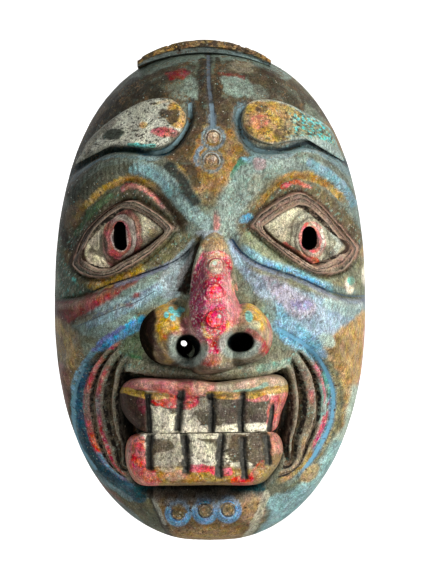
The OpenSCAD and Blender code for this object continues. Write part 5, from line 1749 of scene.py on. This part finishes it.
def carved_lines(g, colour, jitter):
    """Fine lines along the lids and the folds, drawn on the places that the shell carries."""
    at = g.add("Attribute", attribute_name="lines")
    parts = g.add("SeparateColor")
    g.join(at.outputs["Color"], parts.inputs[0])
    reach = g.add("SeparateColor")
    wander, patchy = g.noise(95, 2, 0.5), g.noise(330, 3, 0.65)
    thin, tint = g.add("Attribute", attribute_name="thin"), g.add("Attribute", attribute_name="thin_colour")
    g.join(thin.outputs["Color"], reach.inputs[0])
    across = g.math("ADD", reach.outputs[0], g.math("MULTIPLY", g.math("SUBTRACT", jitter, 0.5), 1.6))
    across = g.math("ABSOLUTE", across)
    amount = g.math("MULTIPLY", g.remap(across, 0.70, 1.15, 1.0, 0.0), tint.outputs["Alpha"])
    amount = g.math("MULTIPLY", amount, g.remap(patchy, 0.36, 0.52, 0.55, 1.0))
    colour = g.mix(amount, colour, tint.outputs["Color"])
    lift = g.math("MULTIPLY", amount, -0.25)
    for place, cover, stops, spread in ((parts.outputs[0], parts.outputs[1], LID_LINES, 0.15),
                                        (parts.outputs[2], at.outputs["Alpha"], FOLD_LINES, 0.045)):
        place = g.math("ADD", place, g.math("MULTIPLY", g.math("SUBTRACT", jitter, 0.5), spread))
        place = g.math("ADD", place, g.math("MULTIPLY", g.math("SUBTRACT", wander, 0.5), spread * 2.2))
        tint, alpha = g.ramp(place, stops)
        amount = g.math("MULTIPLY", g.math("MULTIPLY", alpha, g.remap(cover, 0.3, 0.7)),
                        g.remap(patchy, 0.40, 0.56, 0.30, 1.0))
        colour = g.mix(amount, colour, tint)
        bright = g.add("RGBToBW")
        g.join(tint, bright.inputs[0])
        lift = g.math("ADD", lift, g.math("MULTIPLY", amount, g.math("SUBTRACT", bright.outputs[0], 0.15)))
    return colour, lift


def painted_wood(name, chip=1.0, fleck=1.0, gloss=0.62, streaks=(1.0, 1.0, 0.4), seed=0.0, lined=False):
    """Brushed matte paint, chipped, grimy and darkened by painted shade, over old carved wood."""
    g = Graph(name)
    shift = g.add("Mapping")
    g.join(g.place, shift.inputs[0])
    shift.inputs[1].default_value = (seed, seed * 0.7, seed * 0.3)
    g.place = shift.outputs[0]
    paint, ground = g.attribute("paint"), g.attribute("ground")
    marks = g.add("SeparateColor")
    g.join(g.attribute("marks"), marks.inputs[0])
    wear, speck, dirt = marks.outputs
    along = g.stretch(*streaks)
    brush = g.noise(420, 5, 0.62, along, swirl=2.2)
    fine = g.noise(520, 6, 0.72)
    broad = g.noise(105, 4, 0.6)
    grit = g.noise(1900, 3, 0.6)
    # Uneven brushing and small shifts of hue
    tone = g.math("MULTIPLY", g.remap(brush, 0.36, 0.64, 0.60, 1.34), g.remap(broad, 0.36, 0.64, 0.76, 1.20))
    tone = g.math("MULTIPLY", tone, g.remap(grit, 0.40, 0.60, 0.62, 1.34))
    flat = g.add("CombineColor")
    for socket in flat.inputs[:3]:
        g.join(tone, socket)
    colour = g.mix(1.0, paint, flat.outputs[0], "MULTIPLY")
    hue = g.add("HueSaturation")
    g.join(g.remap(g.noise(230, 3, 0.6), 0.3, 0.7, 0.475, 0.525), hue.inputs["Hue"])
    g.join(g.remap(g.noise(160, 3, 0.6), 0.3, 0.7, 0.86, 1.2), hue.inputs["Saturation"])
    g.join(colour, hue.inputs["Color"])
    colour = hue.outputs[0]
    # Flecks of older coats
    for scale, share, size in ((560, 0.20, 0.32), (900, 0.26, 0.36)):
        distance, tint = g.cells(scale)
        parts = g.add("SeparateColor")
        g.join(tint, parts.inputs[0])
        limit = g.math("MULTIPLY", speck, share * fleck)
        pick = g.math("LESS_THAN", parts.outputs[0], limit)
        dot = g.math("MULTIPLY", pick, g.remap(g.math("ADD", distance, g.math("MULTIPLY", fine, 0.30)),
                                               size + 0.02, size + 0.12, 1.0, 0.0))
        tints, _ = g.ramp(parts.outputs[1], FLECK_TINTS)
        colour = g.mix(g.math("MULTIPLY", dot, 0.8), colour, tints)
    lift = None
    if lined:
        colour, lift = carved_lines(g, colour, fine)
    # Chips down to the wood
    mask = g.math("ADD", g.math("MULTIPLY", fine, 0.62), g.math("MULTIPLY", broad, 0.38))
    level = g.math("SUBTRACT", 0.79, g.math("MULTIPLY", wear, 0.46 * chip))
    chips = g.remap(g.math("SUBTRACT", mask, level), -0.008, 0.022)
    grain = g.noise(1400, 4, 0.6, g.stretch(1.0, 0.6, 0.08))
    wood = g.mix(g.remap(grain, 0.35, 0.65), g.mix(1.0, ground, (0.55, 0.50, 0.45, 1), "MULTIPLY"),
                 g.mix(1.0, ground, (1.5, 1.42, 1.3, 1), "MULTIPLY"))
    colour = g.mix(chips, colour, wood)
    # Grime and painted shade in the hollows and holes
    soot_and_shade = g.math("MULTIPLY", dirt, g.remap(broad, 0.3, 0.7, 0.75, 1.1), True)
    cover = g.math("MULTIPLY", soot_and_shade, 0.86)
    grimy_and_shaded = g.mix(1.0, colour, (0.22, 0.19, 0.15, 1), "MULTIPLY")
    colour = g.mix(cover, colour, grimy_and_shaded)
    height = g.math("ADD", g.math("MULTIPLY", brush, 0.45), g.math("MULTIPLY", grit, 0.22))
    height = g.math("SUBTRACT", height, g.math("MULTIPLY", chips, 0.55))
    if lined:
        height = g.math("ADD", height, g.math("MULTIPLY", lift, 2.0))
    rough = g.remap(fine, 0.3, 0.7, gloss - 0.10, gloss + 0.16)
    # Grime and painted shade aren't shiny. A linked specular level shows in the render, but the export
    # doesn't carry it
    shine = g.remap(dirt, 0.2, 0.7, 0.20, 0.0)
    return g.finish(colour, rough, height, depth=0.0007, bump=0.65, shine=shine)


def bare_wood(name, light=(0.36, 0.23, 0.115, 1), dark=(0.17, 0.10, 0.05, 1)):
    g = Graph(name)
    warp = g.noise(60, 2, 0.5)
    grain = g.noise(620, 5, 0.62, g.stretch(1.0, 0.7, 0.10))
    rings = g.math("SINE", g.math("ADD", g.math("MULTIPLY", warp, 26.0), g.math("MULTIPLY", grain, 5.0)))
    colour = g.mix(g.remap(grain, 0.32, 0.68), dark, light)
    colour = g.mix(g.remap(rings, 0.2, 1.0, 0.0, 0.35), colour, dark)
    pores = g.remap(g.noise(1700, 2, 0.5, g.stretch(1.0, 1.0, 0.16)), 0.62, 0.70)
    colour = g.mix(g.math("MULTIPLY", pores, 0.7), colour, (0.07, 0.04, 0.02, 1))
    rough = g.remap(grain, 0.3, 0.7, 0.62, 0.82)
    return g.finish(colour, rough, g.math("SUBTRACT", grain, pores), bump=0.5)


def old_metal(name, bright, dull, spots):
    g = Graph(name)
    broad = g.noise(260, 4, 0.6)
    fine = g.noise(1500, 5, 0.7)
    colour = g.mix(g.remap(broad, 0.38, 0.62), bright, dull)
    colour = g.mix(g.remap(fine, 0.56, 0.70, 0.0, 0.75), colour, spots)
    scratch = g.noise(2600, 3, 0.5, g.stretch(0.12, 1.0, 1.0))
    rough = g.math("ADD", g.remap(fine, 0.35, 0.7, 0.26, 0.55), g.math("MULTIPLY", scratch, 0.10))
    return g.finish(colour, rough, g.math("ADD", scratch, fine), depth=0.00008, metal=1.0, bump=0.4)


def dress(obj, material, node, smooth):
    obj.data.materials.clear()
    obj.data.materials.append(material)
    obj.data.polygons.foreach_set("use_smooth", [True] * len(obj.data.polygons))
    obj.data.set_sharp_from_angle(angle=math.radians(smooth))
    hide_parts(node)
    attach(obj, "mask")


# Piece, coat, node, slot and the coat's chips, flecks, gloss and seed
COATS = (
    (nose, "nose_coat", "nose_block", "nose_paint", 0.9, 1.0, 0.52, 0.3),
    (upper, "upper_jaw_coat", "upper_jaw", "jaw_paint", 1.1, 0.8, 0.55, 0.5),
    (lower, "lower_jaw_coat", "lower_jaw", "jaw_paint", 1.1, 0.8, 0.55, 0.9),
    (eye_l, "eye_coat_left", "eye_left", "eye_paint", 0.7, 0.5, 0.50, 1.1),
    (eye_r, "eye_coat_right", "eye_right", "eye_paint", 0.7, 0.5, 0.50, 1.3),
    (brow_l, "brow_coat_left", "brow_left", "brow_paint", 0.9, 1.0, 0.60, 1.7),
    (brow_r, "brow_coat_right", "brow_right", "brow_paint", 0.9, 1.0, 0.60, 1.9),
    (crest, "crest_coat", "crest", "crest_paint", 1.0, 0.8, 0.60, 2.1),
    (nose_pegs, "nose_peg_coat", "nose_pegs", "peg_paint", 0.8, 1.0, 0.45, 2.5),
    (forehead_pegs, "forehead_peg_coat", "forehead_pegs", "peg_paint", 0.8, 1.0, 0.55, 2.7),
    (chin_pegs, "chin_peg_coat", "chin_pegs", "peg_paint", 0.8, 1.0, 0.55, 2.9),
)
ALONG_FACE, ALONG_CREST = (1.0, 1.0, 0.4), (0.3, 1.0, 1.0)

dress(shell, painted_wood("shell_coat", lined=True), "face_shell", 60)
for obj, coat, node, slot, chip, fleck, gloss, seed in COATS:
    streaks, smooth = (ALONG_CREST, 40) if obj is crest else (ALONG_FACE, 60)
    dress(obj, painted_wood(coat, chip, fleck, gloss, streaks, seed), node, smooth)

wood = bare_wood("dowel_wood")
lug_wood = bare_wood("lug_wood", (0.42, 0.29, 0.15, 1), (0.22, 0.13, 0.06, 1))
brass = old_metal("aged_brass", (0.62, 0.43, 0.16, 1), (0.36, 0.24, 0.09, 1), (0.12, 0.10, 0.05, 1))
ring_brass = old_metal("worn_brass", (0.70, 0.50, 0.20, 1), (0.44, 0.29, 0.11, 1), (0.16, 0.12, 0.06, 1))
steel = old_metal("dull_steel", (0.50, 0.49, 0.47, 1), (0.30, 0.29, 0.28, 1), (0.16, 0.09, 0.05, 1))
for node, material in (("jaw_dowels", wood), ("crest_dowels", wood), ("strap_lugs", lug_wood),
                       ("hanger_plate", brass), ("hanger_ring", ring_brass), ("hanger_screw", steel)):
    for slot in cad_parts[node].material_slots:
        slot.material = material


# ---------------------------------------------------------------- floor, backdrop, light and camera
def sheet(name, points, material):
    mesh = bpy.data.meshes.new(name)
    mesh.from_pydata(points, [], [(0, 1, 2, 3)])
    mesh.update()
    mesh.materials.append(material)
    new_object(name, mesh)


def stage_surface(name, grey, glow):
    g = Graph(name)
    colour = g.mix(g.noise(3, 2, 0.5), (grey, grey, grey, 1), (grey * 0.98, grey * 0.98, grey * 0.97, 1))
    mat = g.finish(colour, g.remap(g.noise(20, 2, 0.5), 0, 1, 0.8, 0.9))
    shader = next(n for n in mat.node_tree.nodes if n.type == "BSDF_PRINCIPLED")
    shader.inputs["Emission Color"].default_value = (1, 1, 1, 1)
    shader.inputs["Emission Strength"].default_value = glow
    return mat


# A camera about 2.3 m away may look at the mask from any side. The backdrop stands farther off than that, so
# that it doesn't hide a view from straight behind. The floor is low enough to stay out of the front view.
STAGE_HALF = 6.4
FLOOR_Z = -0.6
BACKDROP_Y = 3.4
BACKDROP_FOOT = -4.2
FLOOR_CORNERS = [
    (-STAGE_HALF, -STAGE_HALF, FLOOR_Z),
    (STAGE_HALF, -STAGE_HALF, FLOOR_Z),
    (STAGE_HALF, STAGE_HALF, FLOOR_Z),
    (-STAGE_HALF, STAGE_HALF, FLOOR_Z),
]
BACKDROP_CORNERS = [
    (-STAGE_HALF, BACKDROP_Y, BACKDROP_FOOT),
    (STAGE_HALF, BACKDROP_Y, BACKDROP_FOOT),
    (STAGE_HALF, BACKDROP_Y, STAGE_HALF),
    (-STAGE_HALF, BACKDROP_Y, STAGE_HALF),
]
sheet("floor", FLOOR_CORNERS, stage_surface("pale_floor", 0.8, 0.0))
sheet("backdrop", BACKDROP_CORNERS, stage_surface("pale_backdrop", 0.8, 1.0))


LAMP_AIM = (0, -0.05, 0)
WORLD_STRENGTH = 0.14
CAMERA_AT = (0.0039, -1.6, 0.0009)
CAMERA_LENS = 164.7
CAMERA_SENSOR = 36
CAMERA_CLIP = (0.05, 20)


def lamp(name, at, size, watts, colour=(1, 1, 1)):
    light = bpy.data.lights.new(name, "AREA")
    light.shape = "DISK"
    light.size = size
    light.energy = watts
    light.color = colour
    obj = new_object(name, light)
    obj.location = at
    obj.rotation_euler = (Vector(LAMP_AIM) - Vector(at)).to_track_quat("-Z", "Y").to_euler()


lamp("key", at=(1.15, -1.15, 0.62), size=0.38, watts=31, colour=(1.0, 0.965, 0.90))
lamp("fill", at=(-1.1, -1.5, 0.25), size=1.3, watts=3.0, colour=(1.0, 0.98, 0.96))
lamp("top", at=(-0.1, -0.8, 1.4), size=0.7, watts=2.5)

world = bpy.data.worlds.new("studio")
bpy.context.scene.world = world
world.use_nodes = True
background = world.node_tree.nodes.get("Background")
background.inputs[0].default_value = (1, 1, 1, 1)
background.inputs[1].default_value = WORLD_STRENGTH

camera = bpy.data.cameras.new("camera")
camera.lens = CAMERA_LENS
camera.sensor_width = CAMERA_SENSOR
camera.clip_start, camera.clip_end = CAMERA_CLIP
view = new_object("camera", camera)
view.location = CAMERA_AT
view.rotation_euler = (math.radians(90), 0, 0)
bpy.context.scene.camera = view
bpy.context.scene.view_settings.view_transform = "Standard"
bpy.context.scene.view_settings.look = "None"

bpy.context.view_layer.update()
